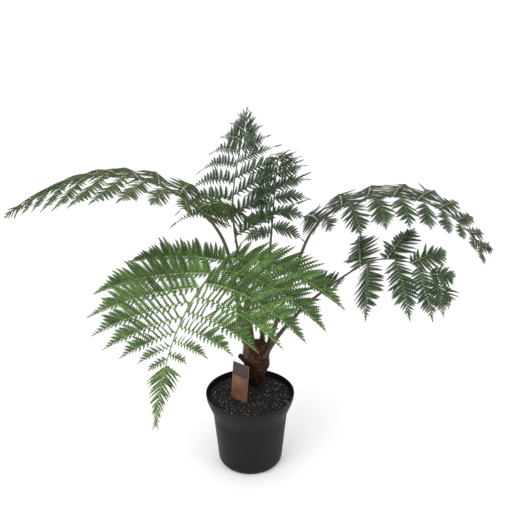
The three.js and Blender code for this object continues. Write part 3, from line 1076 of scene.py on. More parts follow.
@dataclass(frozen=True)
class PlantLabel:
    """A bare plant label: a laminated board on a narrower foot, with two plain panels.

    Heights are above the compost; soft is the share of a board's thickness that its edge is rounded
    by, and proud is how far a panel's middle stands in front of the board's face.
    """

    centre: Triple = (-25.0, -17.0, 168.0)
    board: Triple = (46.0, 0.3, 89.0)
    foot: Triple = (30.0, -24.0, 4.0)
    panels: tuple[Panel, ...] = PANELS
    panel_width: float = 43.0
    panel_thickness: float = 0.3
    proud: float = 0.12
    thickness: float = 0.9
    foot_thickness: float = 0.81
    turn: float = -38.0
    lean: float = 6.0
    corner: float = 2.5
    soft: float = 0.35
    columns: int = 64

    def _placed(self, points: Array) -> Array:
        """Points of the upright board, leaned back, turned about the upright and set in the compost.

        Args:
            points: array of any shape x 3.

        Returns:
            Points of the same shape.
        """
        lean, turn = math.radians(self.lean), math.radians(self.turn)
        x, y, z = points[..., 0], points[..., 1], points[..., 2]
        y, z = y * math.cos(lean) + z * math.sin(lean), z * math.cos(lean) - y * math.sin(lean)
        x, y = x * math.cos(turn) - y * math.sin(turn), x * math.sin(turn) + y * math.cos(turn)
        return np.stack([x, y, z], -1) + np.array(self.centre)

    def _slab(self, width: float, low: float, high: float, thickness: float, front: float) -> Array:
        """A thin board with rounded corners and a soft edge.

        The outline is a rectangle whose corners are quarter circles; four copies of it, drawn in a
        little at the front and the back, make the grid.

        Args:
            width: width of the board.
            low: height of its lower edge.
            high: height of its upper edge.
            thickness: its thickness.
            front: how far its middle stands in front of the label's middle.

        Returns:
            One grid of 1 x 4 x columns x 3.
        """
        angle = np.linspace(0, 2 * np.pi, self.columns, endpoint=False)
        turn_x, turn_z = np.cos(angle), np.sin(angle)
        half_x, half_z, middle = width / 2, (high - low) / 2, (low + high) / 2
        x = (half_x - self.corner) * np.sign(np.round(turn_x, 6)) + self.corner * turn_x
        z = (half_z - self.corner) * np.sign(np.round(turn_z, 6)) + self.corner * turn_z
        rings = []
        flat = 0.5 - self.soft
        for inset, back in ((self.soft, 0.5), (0.0, flat), (0.0, -flat), (self.soft, -0.5)):
            drawn_x, drawn_z = 1 - inset * thickness / half_x, 1 - inset * thickness / half_z
            depth = np.full_like(x, back * thickness - front)
            rings.append(np.stack([x * drawn_x, depth, middle + z * drawn_z], -1))
        return self._placed(np.stack(rings))[None]

    def build(self) -> None:
        """Makes the board and its two bare panels."""
        board = Skin()
        for slab, thickness in ((self.board, self.thickness), (self.foot, self.foot_thickness)):
            board.grids(self._slab(*slab, thickness, 0.0), wrap=True, ends=True)
        edge = Card("label_board", display(96, 70, 60), display(128, 104, 94))
        make_piece("label_board", board, [edge], ["label"], smooth=False)
        front = self.thickness / 2 + self.proud
        for panel in self.panels:
            skin = Skin()
            slab = self._slab(self.panel_width, panel.low, panel.high, self.panel_thickness, front)
            skin.grids(slab, wrap=True, ends=True)
            make_piece(panel.name, skin, [panel.finish], smooth=False)


# ---- Trunk ----


@dataclass(frozen=True)
class Trunk:
    """The short fibrous trunk, slim at the compost and widest under its crown.

    heel_rise has where the heel begins and over how much of the height it comes out. The counts of
    ridges, sways, tangles and knots are those round the trunk and those up it, sway is how far the
    ridges sway, depths are those of ridges, tangles and knots, and fade has over how much of the
    height the relief fades out at the foot and at the top.
    """

    foot: Triple = (12.0, 58.0, 168.3)
    crown: Triple = (16.0, 5.0, 302.0)
    bend: float = 1.6
    foot_radius: float = 18.0
    waist: float = 29.0
    waist_at: float = 0.72
    crown_radius: float = 17.0
    lobes: int = 5
    lobe_depth: float = 0.07
    lobe_turns: float = 0.45
    heel: float = 8.0
    heel_azimuth: float = 223.0
    heel_width: float = 38.0
    heel_rise: Pair = (0.62, 0.2)
    ridges: tuple[int, int] = (64, 9)
    sways: tuple[int, int] = (16, 7)
    tangles: tuple[int, int] = (128, 40)
    knots: tuple[int, int] = (8, 6)
    sway: float = 1.5
    depths: Triple = (1.3, 0.6, 3.0)
    sunk: float = 0.8
    fade: Pair = (0.05, 0.06)
    fade_start: float = 0.02
    rows: int = 190
    columns: int = 240

    def middle(self, rise: Array) -> Array:
        """Point on the trunk's middle line, which leans most at its foot, at a share of its height.

        Args:
            rise: share of the height.

        Returns:
            Points of the same shape x 3.
        """
        leaned = 1 - (1 - rise[..., None]) ** self.bend
        place = mix(np.array(self.foot), np.array(self.crown), leaned)
        place[..., 2] = mix(self.foot[2], self.crown[2], rise)
        return place

    def radius(self, rise: Array, turn: Array) -> Array:
        """Radius without relief.

        An eased swelling from foot to waist, a quarter ellipse from waist to crown, a wave round the
        trunk that climbs in a spiral, and a heel under the front stipe that fades with the square
        of the angle from it.

        Args:
            rise: share of the height.
            turn: share of a full turn from +X.

        Returns:
            Radii of the common shape.
        """
        below = mix(self.foot_radius, self.waist, ease(rise / self.waist_at))
        over = np.clip((rise - self.waist_at) / (1 - self.waist_at), 0, 1)
        dome = np.sqrt(1 - over**2)
        above = mix(self.crown_radius, self.waist, dome)
        wave = np.cos(2 * np.pi * self.lobes * (turn + self.lobe_turns * rise))
        off = (360 * turn - self.heel_azimuth + 180) % 360 - 180
        heel = self.heel * np.exp(-(off / self.heel_width) ** 2) * self._heel_fade(rise) * dome
        return np.where(rise < self.waist_at, below, above) * (1 + self.lobe_depth * wave) + heel

    def _heel_fade(self, rise: Array) -> Array:
        """How far the heel has come out at a share of the height."""
        start, span = self.heel_rise
        return ease((rise - start) / span)

    def relief(self, rise: Array, turn: Array) -> Array:
        """Height of the fibres: narrow upright ridges, knots where old stipes stood, fine tangles.

        Each is a lattice of random values that closes round the trunk; the ridges are swayed sideways
        by another, and only the upper half of the knots counts, squared.

        Args:
            rise: share of the height.
            turn: share of a full turn from +X.

        Returns:
            Heights of the common shape.
        """
        (ridge, ridge_up), (sway, sway_up) = self.ridges, self.sways
        (tangle, tangle_up), (knot, knot_up) = self.tangles, self.knots
        swayed = ridge * turn + self.sway * lattice(sway * turn, sway_up * rise, 11, sway)
        ridges = lattice(swayed, ridge_up * rise, 12, ridge)
        tangles = lattice(tangle * turn, tangle_up * rise, 13, tangle)
        knots = np.maximum(0, lattice(knot * turn, knot_up * rise, 14, knot)) ** 2
        ridge_depth, tangle_depth, knot_depth = self.depths
        return ridge_depth * ridges + tangle_depth * tangles + knot_depth * knots - self.sunk

    def surface(self, rise: Array, turn: Array, proud: float = 0.0) -> Array:
        """Points on the trunk's skin, with its relief, and proud of it by a given distance.

        Args:
            rise: share of the height.
            turn: share of a full turn from +X.
            proud: distance outside the skin.

        Returns:
            Points of the common shape x 3.
        """
        foot, top = self.fade
        fade = ease((1 - rise) / top) * ease((rise + self.fade_start) / foot)
        reach = self.radius(rise, turn) + self.relief(rise, turn) * fade + proud
        return self.middle(rise) + compass(2 * np.pi * turn) * reach[..., None]

    def build(self) -> None:
        """Makes the trunk."""
        rise = np.sin(np.linspace(0, 1, self.rows) * np.pi / 2)
        turn = -np.arange(self.columns) / self.columns % 1.0
        rises, turns = np.meshgrid(rise, turn, indexing="ij")
        skin = Skin()
        skin.grids(self.surface(rises, turns)[None], wrap=True, ends=True)
        make_piece("fibrous_trunk", skin, [FibrousBark()], ["trunk"])


@dataclass(frozen=True)
class LooseFibres:
    """Hairs that leave the trunk's skin upwards and curl out, denser near the crown.

    rise is where they start and over how much of the trunk they stand; ripening is how much shorter
    and longer they are at its foot and its top; radius is at their foot and their end.
    """

    trunk: Trunk
    count: int = 2600
    rise: Pair = (0.04, 0.93)
    crowd: float = 0.7
    sunk: float = 0.6
    stray: float = 0.6
    length: Pair = (4.0, 11.0)
    ripening: Pair = (0.7, 1.15)
    tilt: Pair = (0.1, 0.9)
    swing: float = 0.35
    radius: Pair = (0.34, 0.1)
    uneven: Pair = (0.7, 1.2)
    rows: int = 5
    sides: int = 3
    finishes: tuple[RibSkin, ...] = (
        RibSkin("fibre_dark", display(52, 38, 29)), RibSkin("fibre_brown", display(88, 64, 44)),
        RibSkin("fibre_tan", display(132, 98, 62)))
    seed: int = 5

    def build(self) -> None:
        """Makes the fibres, each a thin limb that tilts further out row by row."""
        rng = np.random.default_rng(self.seed)
        start, span = self.rise
        rise = start + span * rng.uniform(0, 1, self.count) ** self.crowd
        turn = rng.uniform(0, 1, self.count)
        foot = self.trunk.surface(rise, turn, -self.sunk)
        out = compass(2 * np.pi * turn + rng.normal(0, self.stray, self.count))
        length = rng.uniform(*self.length, self.count) * mix(*self.ripening, rise)
        along = np.linspace(0, 1, self.rows)
        tilt = (rng.uniform(*self.tilt, self.count)[:, None] * along)[..., None]
        side = unit(np.cross(out, UP))[:, None]
        swing = rng.normal(0, self.swing, self.count)[:, None, None]
        step = UP * np.cos(tilt) + out[:, None] * np.sin(tilt) + side * swing
        point = foot[:, None] + np.cumsum(step, 1) * (length / self.rows)[:, None, None]
        radius = mix(*self.radius, along)[None] * rng.uniform(*self.uneven, self.count)[:, None]
        limbs = tubes(point, np.broadcast_to(side, point.shape), unit(np.cross(side, unit(step))), radius,
                      self.sides)
        skin = Skin()
        skin.grids(limbs, wrap=True, ends=True, paint=rng.integers(0, len(self.finishes), self.count))
        make_piece("trunk_fibres", skin, self.finishes)


@dataclass(frozen=True)
class OldStub:
    """The cut stub of an old frond: a tapering scaly limb with a ragged, hollowed end.

    hollow has the place and the share of the radius of the rows that go down into its end; ripples
    has how many there are round it and along it.
    """

    start: Triple = (-3.0, 2.0, 252.0)
    end: Triple = (-22.0, -10.0, 277.0)
    radius: Pair = (8.0, 5.5)
    hollow: tuple[Pair, ...] = ((1.0, 0.86), (0.985, 0.5), (0.96, 0.12))
    ripple: float = 0.5
    ripples: tuple[int, int] = (24, 12)
    rows: int = 30
    columns: int = 40
    # its darkest colour is the painted shade of the hollows
    finish: FibrousBark = FibrousBark("stub_bark", display(28, 22, 18), display(66, 50, 38),
                                      display(96, 76, 54))

    def build(self) -> None:
        """Makes the stub, with a fine ripple on its skin."""
        start, end = np.array(self.start), np.array(self.end)
        along = unit(end - start)
        across = unit(np.cross(along, UP))
        down = np.array(self.hollow)
        share = np.concatenate([np.linspace(0, 1, self.rows), down[:, 0]])
        radius = mix(*self.radius, share) * np.concatenate([np.ones(self.rows), down[:, 1]])
        point = mix(start, end, share[:, None])
        sides = (np.broadcast_to(one, (1, *point.shape)) for one in (across, np.cross(across, along)))
        grid = tubes(point[None], *sides, radius[None], self.columns)
        around, lengthwise = self.ripples
        column, row = np.meshgrid(np.arange(self.columns) / self.columns, share)
        ripple = lattice(around * column, lengthwise * row, 31, around)
        out = unit(grid - point[None, :, None])
        skin = Skin()
        skin.grids(grid + self.ripple * out * ripple[None, ..., None], wrap=True, ends=True)
        make_piece("old_stipe_stub", skin, [self.finish], ["old_frond_stub"])


# ---- Fronds ----


class PaintedLight(Enum):
    """How much light or shade is painted into a frond: lit and shaded copies of its greens, ribs and stipe.
    """

    BRIGHT = "bright"
    MIDDLE = "middle"
    SHADED = "shaded"
    DEEP_SHADE = "deep_shade"

    def green(self) -> RGB:
        """The middle green of the leaf, lit or shaded with the frond's painted light."""
        return {PaintedLight.BRIGHT: display(68, 96, 42), PaintedLight.MIDDLE: display(55, 76, 33),
                PaintedLight.SHADED: display(46, 67, 36), PaintedLight.DEEP_SHADE: display(40, 62, 30)}[self]

    def greens(self) -> list[Leaf]:
        """The leaf finishes that are dealt out among the leaflets, from shaded to sunlit.

        Returns:
            Four finishes.
        """
        tones = (0.56, 0.8, 1.02, 1.3)
        return [Leaf(f"leaf_{self.value}_{number}", tuple(tone * c for c in self.green()))
                for number, tone in enumerate(tones)]

    def ribs(self) -> list[RibSkin]:
        """The finishes of the leaflets' ribs and of the finer veins, midway to a light green; the ribs are
        lit or shaded with the frond's painted light.

        Returns:
            The ribs' finish and the veins'.
        """
        rib = {PaintedLight.BRIGHT: display(132, 152, 96), PaintedLight.MIDDLE: display(104, 114, 70),
               PaintedLight.SHADED: display(66, 78, 54), PaintedLight.DEEP_SHADE: display(84, 96, 60)}[self]
        vein = tuple(0.5 * (a + 1.3 * b) for a, b in zip(rib, self.green()))
        return [RibSkin(f"rib_{self.value}", rib), RibSkin(f"vein_{self.value}", vein)]

    def stipe(self) -> StipeSkin:
        """The finish of the stipe and the frond's main rib, its upper colour lit or shaded with the frond's
        painted light.

        Returns:
            The finish.
        """
        upper = {PaintedLight.BRIGHT: display(120, 130, 84), PaintedLight.MIDDLE: display(70, 74, 46),
                 PaintedLight.SHADED: display(60, 54, 42), PaintedLight.DEEP_SHADE: display(72, 62, 50)}[self]
        return StipeSkin(f"stipe_{self.value}", upper)


@dataclass(frozen=True)
class Leaflets:
    """The leaflets of a frond: their tracks, lengths and sides, one row for each leaflet."""

    point: Array
    along: Array
    face: Array
    length: Array
    side: Array
    place: Array


@dataclass(frozen=True)
class Frond:
    """One frond: an arching rib with leaflets on both sides, each with lobed leaflets of its own.

    Angles are in degrees. The fields down to outline are those of the solids. fold is how far the
    lobed leaflets hang from their leaflet's plane, on the side of the frond's foot and of its tip;
    spread is the longest of them over the length of their leaflet, on the left and right leaflets;
    short is how much of that the ones towards foot and tip have; pitch is their spacing, as a length
    and a share of their leaflet's; fill is half their width over their spacing, at the foot of the
    leaflets that have opened out and elsewhere; loose is how much further apart they stand there;
    tail is where a leaflet has narrowed by half; broad is how much longer they are near the tip;
    drawn is where the frond's own simple leaflets begin.
    """

    name: str
    foot: Triple
    foot_radius: float
    azimuth: Pair
    lean: Triple
    shoulder: Pair
    length: float
    blade: float
    reach: Pair
    pairs: int
    crowd: float
    opening: tuple[Pair, Pair]
    lift: tuple[Pair, Pair]
    sag: Pair
    twist: Pair
    first: Pair
    outline: Pair
    # the painted light or shade of the frond's greens, ribs and stipe
    light: PaintedLight
    fold: Pair = (8.0, 18.0)
    spread: Pair = (0.2, 0.2)
    short: Pair = (1.0, 1.0)
    pitch: Pair = (3.0, 0.035)
    fill: Pair = (0.5, 0.72)
    loose: float = 0.0
    tail: float = 0.8
    broad: float = 1.0
    drawn: float = 0.92
    seed: int = 1

    # The rule that the solids share: steps of the axis and of a leaflet, then shares of the blade.
    STATIONS = 96
    STEPS = 16
    STAGGER = 0.3
    TIP_RADIUS = 0.9
    TAPER = 1.8
    SWELL = 0.2
    LEAST = 0.04
    END_MOST = 0.3
    END_SHARE = 0.14
    LAST = 0.998
    TURNING = 0.6
    CLOSING = 0.4
    OPENS, OPENS_OVER = 0.2, 0.12
    CLOSES, CLOSES_OVER = 0.72, 0.1

    def track(self) -> Track:
        """The frond's axis.

        Its lean goes from foot to shoulder with an eased step and from shoulder to tip in a straight
        line, its compass direction turns evenly, and the blade twists evenly about it. The points
        are the running sum of short steps along that direction.

        Returns:
            The axis in equal steps of its length.
        """
        t = np.linspace(0, 1, self.STATIONS + 1)
        foot, shoulder, tip = self.lean
        place, span = self.shoulder
        bend = (shoulder - foot) * ease((t - place + span) / span)
        arch = (tip - shoulder) * np.clip((t - place) / (1 - place), 0, 1)
        lean = np.radians(foot + bend + arch)[:, None]
        azimuth = np.radians(mix(*self.azimuth, t))
        out = compass(azimuth)
        side = np.stack([np.sin(azimuth), -np.cos(azimuth), 0 * t], -1)
        along = out * np.sin(lean) + UP * np.cos(lean)
        inner = UP * np.sin(lean) - out * np.cos(lean)
        twist = np.radians(mix(*self.twist, t))[:, None]
        step = (along[1:] + along[:-1]) * (self.length / self.STATIONS / 2)
        point = np.concatenate([[self.foot], np.array(self.foot) + np.cumsum(step, 0)])
        return Track(point, along, side * np.cos(twist) + inner * np.sin(twist),
                     inner * np.cos(twist) - side * np.sin(twist))

    def on_blade(self, track: Track, place: Array) -> Track:
        """The axis at places of the blade, 0 at its foot and 1 at its tip, short of the very tip."""
        return track.at(np.minimum(self.blade + (1 - self.blade) * place, self.LAST))

    def radius(self, t: Array) -> Array:
        """Radius of stipe and rib at a share of the length: it falls with a power of what is left."""
        return self.TIP_RADIUS + (self.foot_radius - self.TIP_RADIUS) * (1 - t) ** self.TAPER

    def share(self, place: Array, first: Array) -> Array:
        """Leaflet length over the reach: from the first one's share a swelling, then a narrowing.

        Args:
            place: place on the blade, 0 at its foot and 1 at its tip.
            first: the first leaflet's share.

        Returns:
            Shares of the same shape.
        """
        end, power = self.outline
        swell = mix(first, 1.0, np.sin(np.pi / 2 * np.clip(place / self.SWELL, 0, 1)))
        main = swell * (1 - np.clip(place / end, 0, 1) ** power)
        last = self.END_SHARE * (1 - place) / (1 - end) if end < 1 else 0 * place
        return np.maximum(np.maximum(main, np.minimum(self.END_MOST, last)), self.LEAST)

    def opened(self, place: Array) -> Array:
        """How far the leaflets at a place have opened out: those in the middle of the blade."""
        opens = ease((place - self.OPENS) / self.OPENS_OVER)
        return opens * (1 - ease((place - self.CLOSES) / self.CLOSES_OVER))

    def leaflets(self, track: Track) -> Leaflets:
        """Grows the leaflets.

        Pairs crowd towards the tip. Each leaflet leaves the rib at its opening angle, which closes
        towards the tip, lifts from the blade's plane, and sags more the longer it is.

        Args:
            track: the frond's axis.

        Returns:
            All leaflets, down to the smallest.
        """
        pair = np.repeat(np.arange(self.pairs), 2)
        side = np.tile([-1.0, 1.0], self.pairs)
        place = 1 - (1 - (pair + self.STAGGER * (side > 0)) / self.pairs) ** self.crowd
        reach, swell, sag = (np.where(side < 0, *ends)[:, None]
                             for ends in (self.reach, self.first, self.sag))
        length = reach[:, 0] * self.share(place, swell[:, 0])
        start = self.on_blade(track, place)
        turns = (mix(*(np.where(side < 0, *ends) for ends in zip(*angle)), place**self.TURNING)
                 for angle in (self.opening, self.lift))
        opening, lift = (np.radians(turn)[:, None] for turn in turns)
        opening = opening * (1 - self.CLOSING * place[:, None] ** 6)
        level = start.along * np.cos(opening) + start.across * side[:, None] * np.sin(opening)
        first = level * np.cos(lift) + start.face * np.sin(lift)
        u = np.linspace(0, 1, self.STEPS + 1)
        drop = sag * length[:, None] * u / max(self.reach)
        along = unit(first[:, None] - drop[..., None] * UP)
        step = (along[:, 1:] + along[:, :-1]) * (length / self.STEPS / 2)[:, None, None]
        point = np.concatenate([start.point[:, None], start.point[:, None] + np.cumsum(step, 1)], 1)
        return Leaflets(point, along, start.face, length, side, place)

    def build(self, nodes: Sequence[str]) -> None:
        """Makes the frond: stipe with its main rib, scales, leaflets' ribs, and lobed leaflets.

        Args:
            nodes: the solids of the frond, its stipe first.
        """
        track = self.track()
        growth = Growth(self, track, self.leaflets(track), np.random.default_rng(self.seed))
        Stipe().build(growth, nodes[0])
        Scales().build(growth)
        LeafletRibs().grow(growth)
        LobedLeaflets().grow(growth)
        SimpleEnd().grow(growth)
        make_piece(f"{self.name}_ribs", growth.ribs, self.light.ribs())
        make_piece(f"{self.name}_leaflets", growth.leaves, self.light.greens(), nodes[1:])


@dataclass
class Growth:
    """A frond in the making: its axis, leaflets and random numbers, and the skins they go into."""

    frond: Frond
    track: Track
    leaflets: Leaflets
    rng: np.random.Generator
    ribs: Skin = field(default_factory=Skin)
    leaves: Skin = field(default_factory=Skin)


@dataclass(frozen=True)
class Stipe:
    """The stipe and the frond's main rib, with fine ridges along it."""

    rows: int = 150
    columns: int = 18
    ridges: int = 5
    ridge: float = 0.05

    def build(self, growth: Growth, node: str) -> None:
        """Makes it, for the solid of this name.

        Args:
            growth: the frond in the making.
            node: the stipe's solid.
        """
        t = np.linspace(0, 1, self.rows)
        on, radius = growth.track.at(t), growth.frond.radius(t)
        turn = 2 * np.pi * np.arange(self.columns) / self.columns
        ridged = 1 + self.ridge * np.cos(self.ridges * turn)
        tube = tubes(on.point[None], on.across[None], on.face[None], radius[None], self.columns)
        centre = on.point[None, :, None]
        skin = Skin()
        skin.grids(centre + (tube - centre) * ridged[:, None], wrap=True, ends=True)
        make_piece(f"{growth.frond.name}_stipe", skin, [growth.frond.light.stipe()], [node])


@dataclass(frozen=True)
class Scales:
    """Thin scales about a stipe's foot.

    number is how many there are for each millimetre of the stipe's radius, reach is how much of the
    stipe has them, and rows has the place and the half width of each row of a scale.
    """

    number: int = 26
    reach: float = 0.62
    crowd: float = 1.4
    length: Pair = (3.5, 8.5)
    last: float = 0.6
    lean: Pair = (0.15, 0.75)
    sunk: float = 0.2
    rows: tuple[Pair, ...] = ((0.0, 0.5), (0.4, 0.55), (0.75, 0.35), (1.0, 0.04))
    uneven: Pair = (0.6, 1.3)
    finishes: tuple[RibSkin, ...] = (
        RibSkin("scale_dark", display(56, 40, 30)), RibSkin("scale_tan", display(118, 88, 58)))

    def build(self, growth: Growth) -> None:
        """Makes them: flat blades that stand off the stipe, further out towards their points.

        Args:
            growth: the frond in the making.
        """
        frond, rng = growth.frond, growth.rng
        count = int(self.number * frond.foot_radius)
        place = self.reach * frond.blade * rng.uniform(0, 1, count) ** self.crowd
        foot = growth.track.at(place)
        angle = rng.uniform(0, 2 * np.pi, count)[:, None]
        out = foot.face * np.cos(angle) + foot.across * np.sin(angle)
        aside = np.cross(foot.along, out)
        length = rng.uniform(*self.length, count) * mix(1.0, self.last, place / frond.blade)
        row, width = (column[None, :, None] for column in np.array(self.rows).T)
        lean = rng.uniform(*self.lean, count)[:, None, None]
        middle = ((foot.point + out * (frond.radius(place)[:, None] - self.sunk))[:, None]
                  + length[:, None, None] * row * (foot.along[:, None] + lean * row * out[:, None]))
        half = width * rng.uniform(*self.uneven, (count, 1, 1))
        blade = np.stack([middle - aside[:, None] * half, middle + aside[:, None] * half], 2)
        skin = Skin()
        skin.grids(blade, paint=rng.integers(0, len(self.finishes), count))
        make_piece(f"{frond.name}_scales", skin, self.finishes)


@dataclass(frozen=True)
class LeafletRibs:
    """Ribs of the leaflets: thin limbs that end in a point."""

    slender: float = 170.0
    radius: Pair = (0.45, 1.2)
    point: float = 0.28
    taper: float = 1.2
    sides: int = 6

    def grow(self, growth: Growth) -> None:
        """Adds them; a longer leaflet has a stouter rib, within limits.

        Args:
            growth: the frond in the making.
        """
        grown = growth.leaflets
        u = np.linspace(0, 1, growth.frond.STEPS + 1)
        across = unit(np.cross(grown.along, grown.face[:, None]))
        stout = np.clip(grown.length / self.slender, *self.radius)[:, None]
        radius = mix(stout, self.point, u[None] ** self.taper)
        limbs = tubes(grown.point, across, np.cross(across, grown.along), radius, self.sides)
        growth.ribs.grids(limbs, wrap=True, ends=True)


@dataclass(frozen=True)
class LobedLeaflets:
    """Lobed leaflets along every rib, smallest leaflets being one lobed leaflet each.

    They swell from the foot of their leaflet, narrow about its tail with an eased step and end in its
    point; they lean further forward and stand closer the nearer they are to it.

    simple is the length under which a leaflet is one lobed leaflet; cover is how much of a leaflet
    they stand on, and place where they start and over how much; least is what any has in length;
    foot has their share at its foot and how fast it grows; tail has how far before the frond's own
    tail they begin to narrow, over how much, and what is left. ending has where on the frond its last
    leaflets begin and over how much they go over to end_fold and end_fill; opened has where those of
    an opened leaflet begin to close up, and over how much. sweep runs from foot to point of a
    leaflet; widest is their half width for each length and for any; hang is how far under the rib's
    middle they join it; mixed is the share with another green than their leaflet's; kinds has the
    least and the largest length and the number of lobes. whole_width is the half width of a whole
    leaflet for each length, at least and at most, and point_width that of a point.
    """

    simple: float = 40.0
    crowd: float = 1.2
    shift: float = 0.2
    cover: float = 0.96
    fewest: int = 3
    place: Pair = (0.01, 0.98)
    least: float = 4.0
    foot: Pair = (0.66, 1.7)
    tail: Triple = (0.28, 0.5, 0.2)
    uneven: Pair = (0.86, 1.08)
    ending: Pair = (0.62, 0.15)
    end_fold: float = 10.0
    end_fill: float = 1.05
    stray_fold: float = 8.0
    sweep: Pair = (82.0, 46.0)
    stray_sweep: float = 3.0
    opened: Pair = (0.2, 0.5)
    widest: Pair = (0.3, 0.4)
    hang: float = 0.5
    mixed: float = 0.5
    kinds: tuple[tuple[int, int, int], ...] = ((0, 8, 3), (8, 18, 5), (18, 34, 8), (34, 99, 11))
    whole_width: Triple = (0.2, 1.8, 6.0)
    point_width: Pair = (0.008, 0.7)
    end_narrow: float = 0.6
    end_lobes: int = 5
    end_notch: float = 0.55

    def grow(self, growth: Growth) -> None:
        """Adds them, side by side, and then the whole ones and the points.

        Args:
            growth: the frond in the making.
        """
        frond, grown = growth.frond, growth.leaflets
        least, share = frond.pitch
        pitch = (least + share * grown.length) * (1 + frond.loose * frond.opened(grown.place))
        number = np.maximum(self.fewest, np.round(self.cover * grown.length / pitch)).astype(int)
        whole = grown.length < self.simple
        number[whole] = 0
        owner = np.repeat(np.arange(len(number)), number)
        order = np.arange(number.sum()) - np.repeat(np.cumsum(number) - number, number)
        # each leaflet takes one of the four greens, from painted shade to painted sunlight
        paint = growth.rng.integers(0, 4, len(number))
        for side in (-1.0, 1.0):
            s = np.clip((order + 0.5 + self.shift * side) / number[owner], 0, 1)
            u = self.place[0] + self.place[1] * (1 - (1 - s) ** self.crowd)
            gap = self.crowd * (1 - s) ** (self.crowd - 1) * grown.length[owner] / number[owner]
            self._row(growth, owner, u, side, gap, paint)
        self._points(growth, whole, paint)

    def _row(self, growth: Growth, owner: Array, u: Array, side: float, gap: Array, paint: Array) -> None:
        """One side of every leaflet: where each lobed leaflet sits, how long it is, how it hangs.

        Args:
            growth: the frond in the making.
            owner: which leaflet each lobed leaflet grows on.
            u: its share of the way along that leaflet.
            side: the side of the leaflet it grows on, -1 or 1.
            gap: distance to the next one.
            paint: finish of each leaflet.
        """
        frond, grown, rng, count = growth.frond, growth.leaflets, growth.rng, len(u)
        low = np.minimum((u * frond.STEPS).astype(int), frond.STEPS - 1)
        part = (u * frond.STEPS - low)[:, None]
        point, along = (mix(of[owner, low], of[owner, low + 1], part) for of in (grown.point, grown.along))
        along = unit(along)
        across = unit(np.cross(along, grown.face[owner]))
        face = np.cross(across, along)
        point = point - self.hang * face
        tipward = side * grown.side[owner] < 0
        end = ease((grown.place[owner] - self.ending[0]) / self.ending[1])

        before, span, left = self.tail
        swell = np.minimum(1.0, self.foot[0] + self.foot[1] * u)
        swell = swell * mix(1.0, left, ease((u - frond.tail + before) / span)) * (1 - u**6) ** 0.5
        spread = np.where(grown.side[owner] < 0, *frond.spread)
        length = (self.least + spread * grown.length[owner]) * swell * rng.uniform(*self.uneven, count)
        length *= mix(np.where(tipward, *frond.short[::-1]), frond.broad, end)

        fold = mix(np.where(tipward, *frond.fold[::-1]), self.end_fold, end)
        dip = np.radians(fold + rng.normal(0, self.stray_fold, count))[:, None]
        sweep = mix(*self.sweep, u**0.9) + rng.normal(0, self.stray_sweep, count)
        sweep = np.radians(sweep)[:, None]
        level = across * side * np.cos(dip) - face * np.sin(dip)
        first = along * np.cos(sweep) + level * np.sin(sweep)
        over = face * np.cos(dip) + across * side * np.sin(dip)
        over = unit(over - first * (over * first).sum(-1, keepdims=True))

        opened = frond.opened(grown.place[owner]) * (1 - ease((u - self.opened[0]) / self.opened[1]))
        full = mix(mix(*frond.fill[::-1], opened), self.end_fill, end)
        half = np.minimum(full * gap, self.widest[0] * length + self.widest[1])
        # a share of the lobed leaflets take another of these painted shade and sunlight greens
        shade = (paint[owner] + (rng.uniform(0, 1, count) < self.mixed) * rng.integers(1, 4, count)) % 4
        for least, most, lobes in self.kinds:
            chosen = (length >= least) & (length < most)
            if chosen.any():
                rows = (row[chosen] for row in (point, first, over, length, half, along))
                blade = LobedBlade(*rows, lobes)
                growth.leaves.grids(blade.surface(), paint=shade[chosen])
                growth.ribs.grids(blade.vein(), wrap=True, ends=True, paint=1)

    def _points(self, growth: Growth, whole: Array, paint: Array) -> None:
        """Single lobed leaflets: the smallest leaflets whole, and the points of all the others.

        Args:
            growth: the frond in the making.
            whole: which leaflets are whole.
            paint: finish of each leaflet.
        """
        grown, steps = growth.leaflets, growth.frond.STEPS
        start = np.where(whole, 0, steps - 2)
        rows = np.arange(len(start))
        point, along = grown.point[rows, start], grown.along[rows, start]
        over = unit(grown.face - along * (grown.face * along).sum(-1, keepdims=True))
        length = np.where(whole, grown.length, grown.length * 2 / steps)
        width, narrowest, widest = self.whole_width
        broad = np.clip(width * grown.length, narrowest, widest) * (1 - self.end_narrow * grown.place**12)
        half = np.where(whole, broad, self.point_width[0] * grown.length + self.point_width[1])
        blade = LobedBlade(point, along, over, length, half, along, self.end_lobes, self.end_notch)
        growth.leaves.grids(blade.surface(), paint=paint)


@dataclass(frozen=True)
class SimpleEnd:
    """Simple leaflets that close up the drawn-out end of a frond, shorter towards its point.

    Their length is a share of the frond's reach, what the longest have over the last and what all
    have; opening and half width run from the end's start to its point.
    """

    pitch: float = 6.5
    crowd: float = 1.25
    shift: float = 0.2
    length: Pair = (0.125, 0.012)
    narrowing: float = 1.1
    uneven: Pair = (0.9, 1.1)
    opening: Pair = (58.0, 24.0)
    stray: float = 4.0
    half: Pair = (3.3, 0.9)
    uneven_half: Pair = (0.85, 1.15)
    lobes: int = 4
    notch: float = 0.7

    def grow(self, growth: Growth) -> None:
        """Adds them, first the left ones and then the right.

        Args:
            growth: the frond in the making.
        """
        frond, rng = growth.frond, growth.rng
        left = 1 - frond.drawn
        count = round(left * (1 - frond.blade) * frond.length / self.pitch)
        for side in (-1.0, 1.0):
            share = (np.arange(count) + 0.5 + self.shift * side) / count
            start = frond.on_blade(growth.track, frond.drawn + left * (1 - (1 - share) ** self.crowd))
            reach = self.length[0] * (1 - share) ** self.narrowing + self.length[1]
            length = max(frond.reach) * reach * rng.uniform(*self.uneven, count)
            opening = np.radians(mix(*self.opening, share) + rng.normal(0, self.stray, count))[:, None]
            along = start.along * np.cos(opening) + start.across * side * np.sin(opening)
            half = mix(*self.half, share) * rng.uniform(*self.uneven_half, count)
            blade = LobedBlade(start.point, along, start.face, length, half, start.along,
                               self.lobes, self.notch)
            # the end leaflets take the three lighter of the painted shade and sunlight greens
            growth.leaves.grids(blade.surface(), paint=rng.integers(1, 4, count))


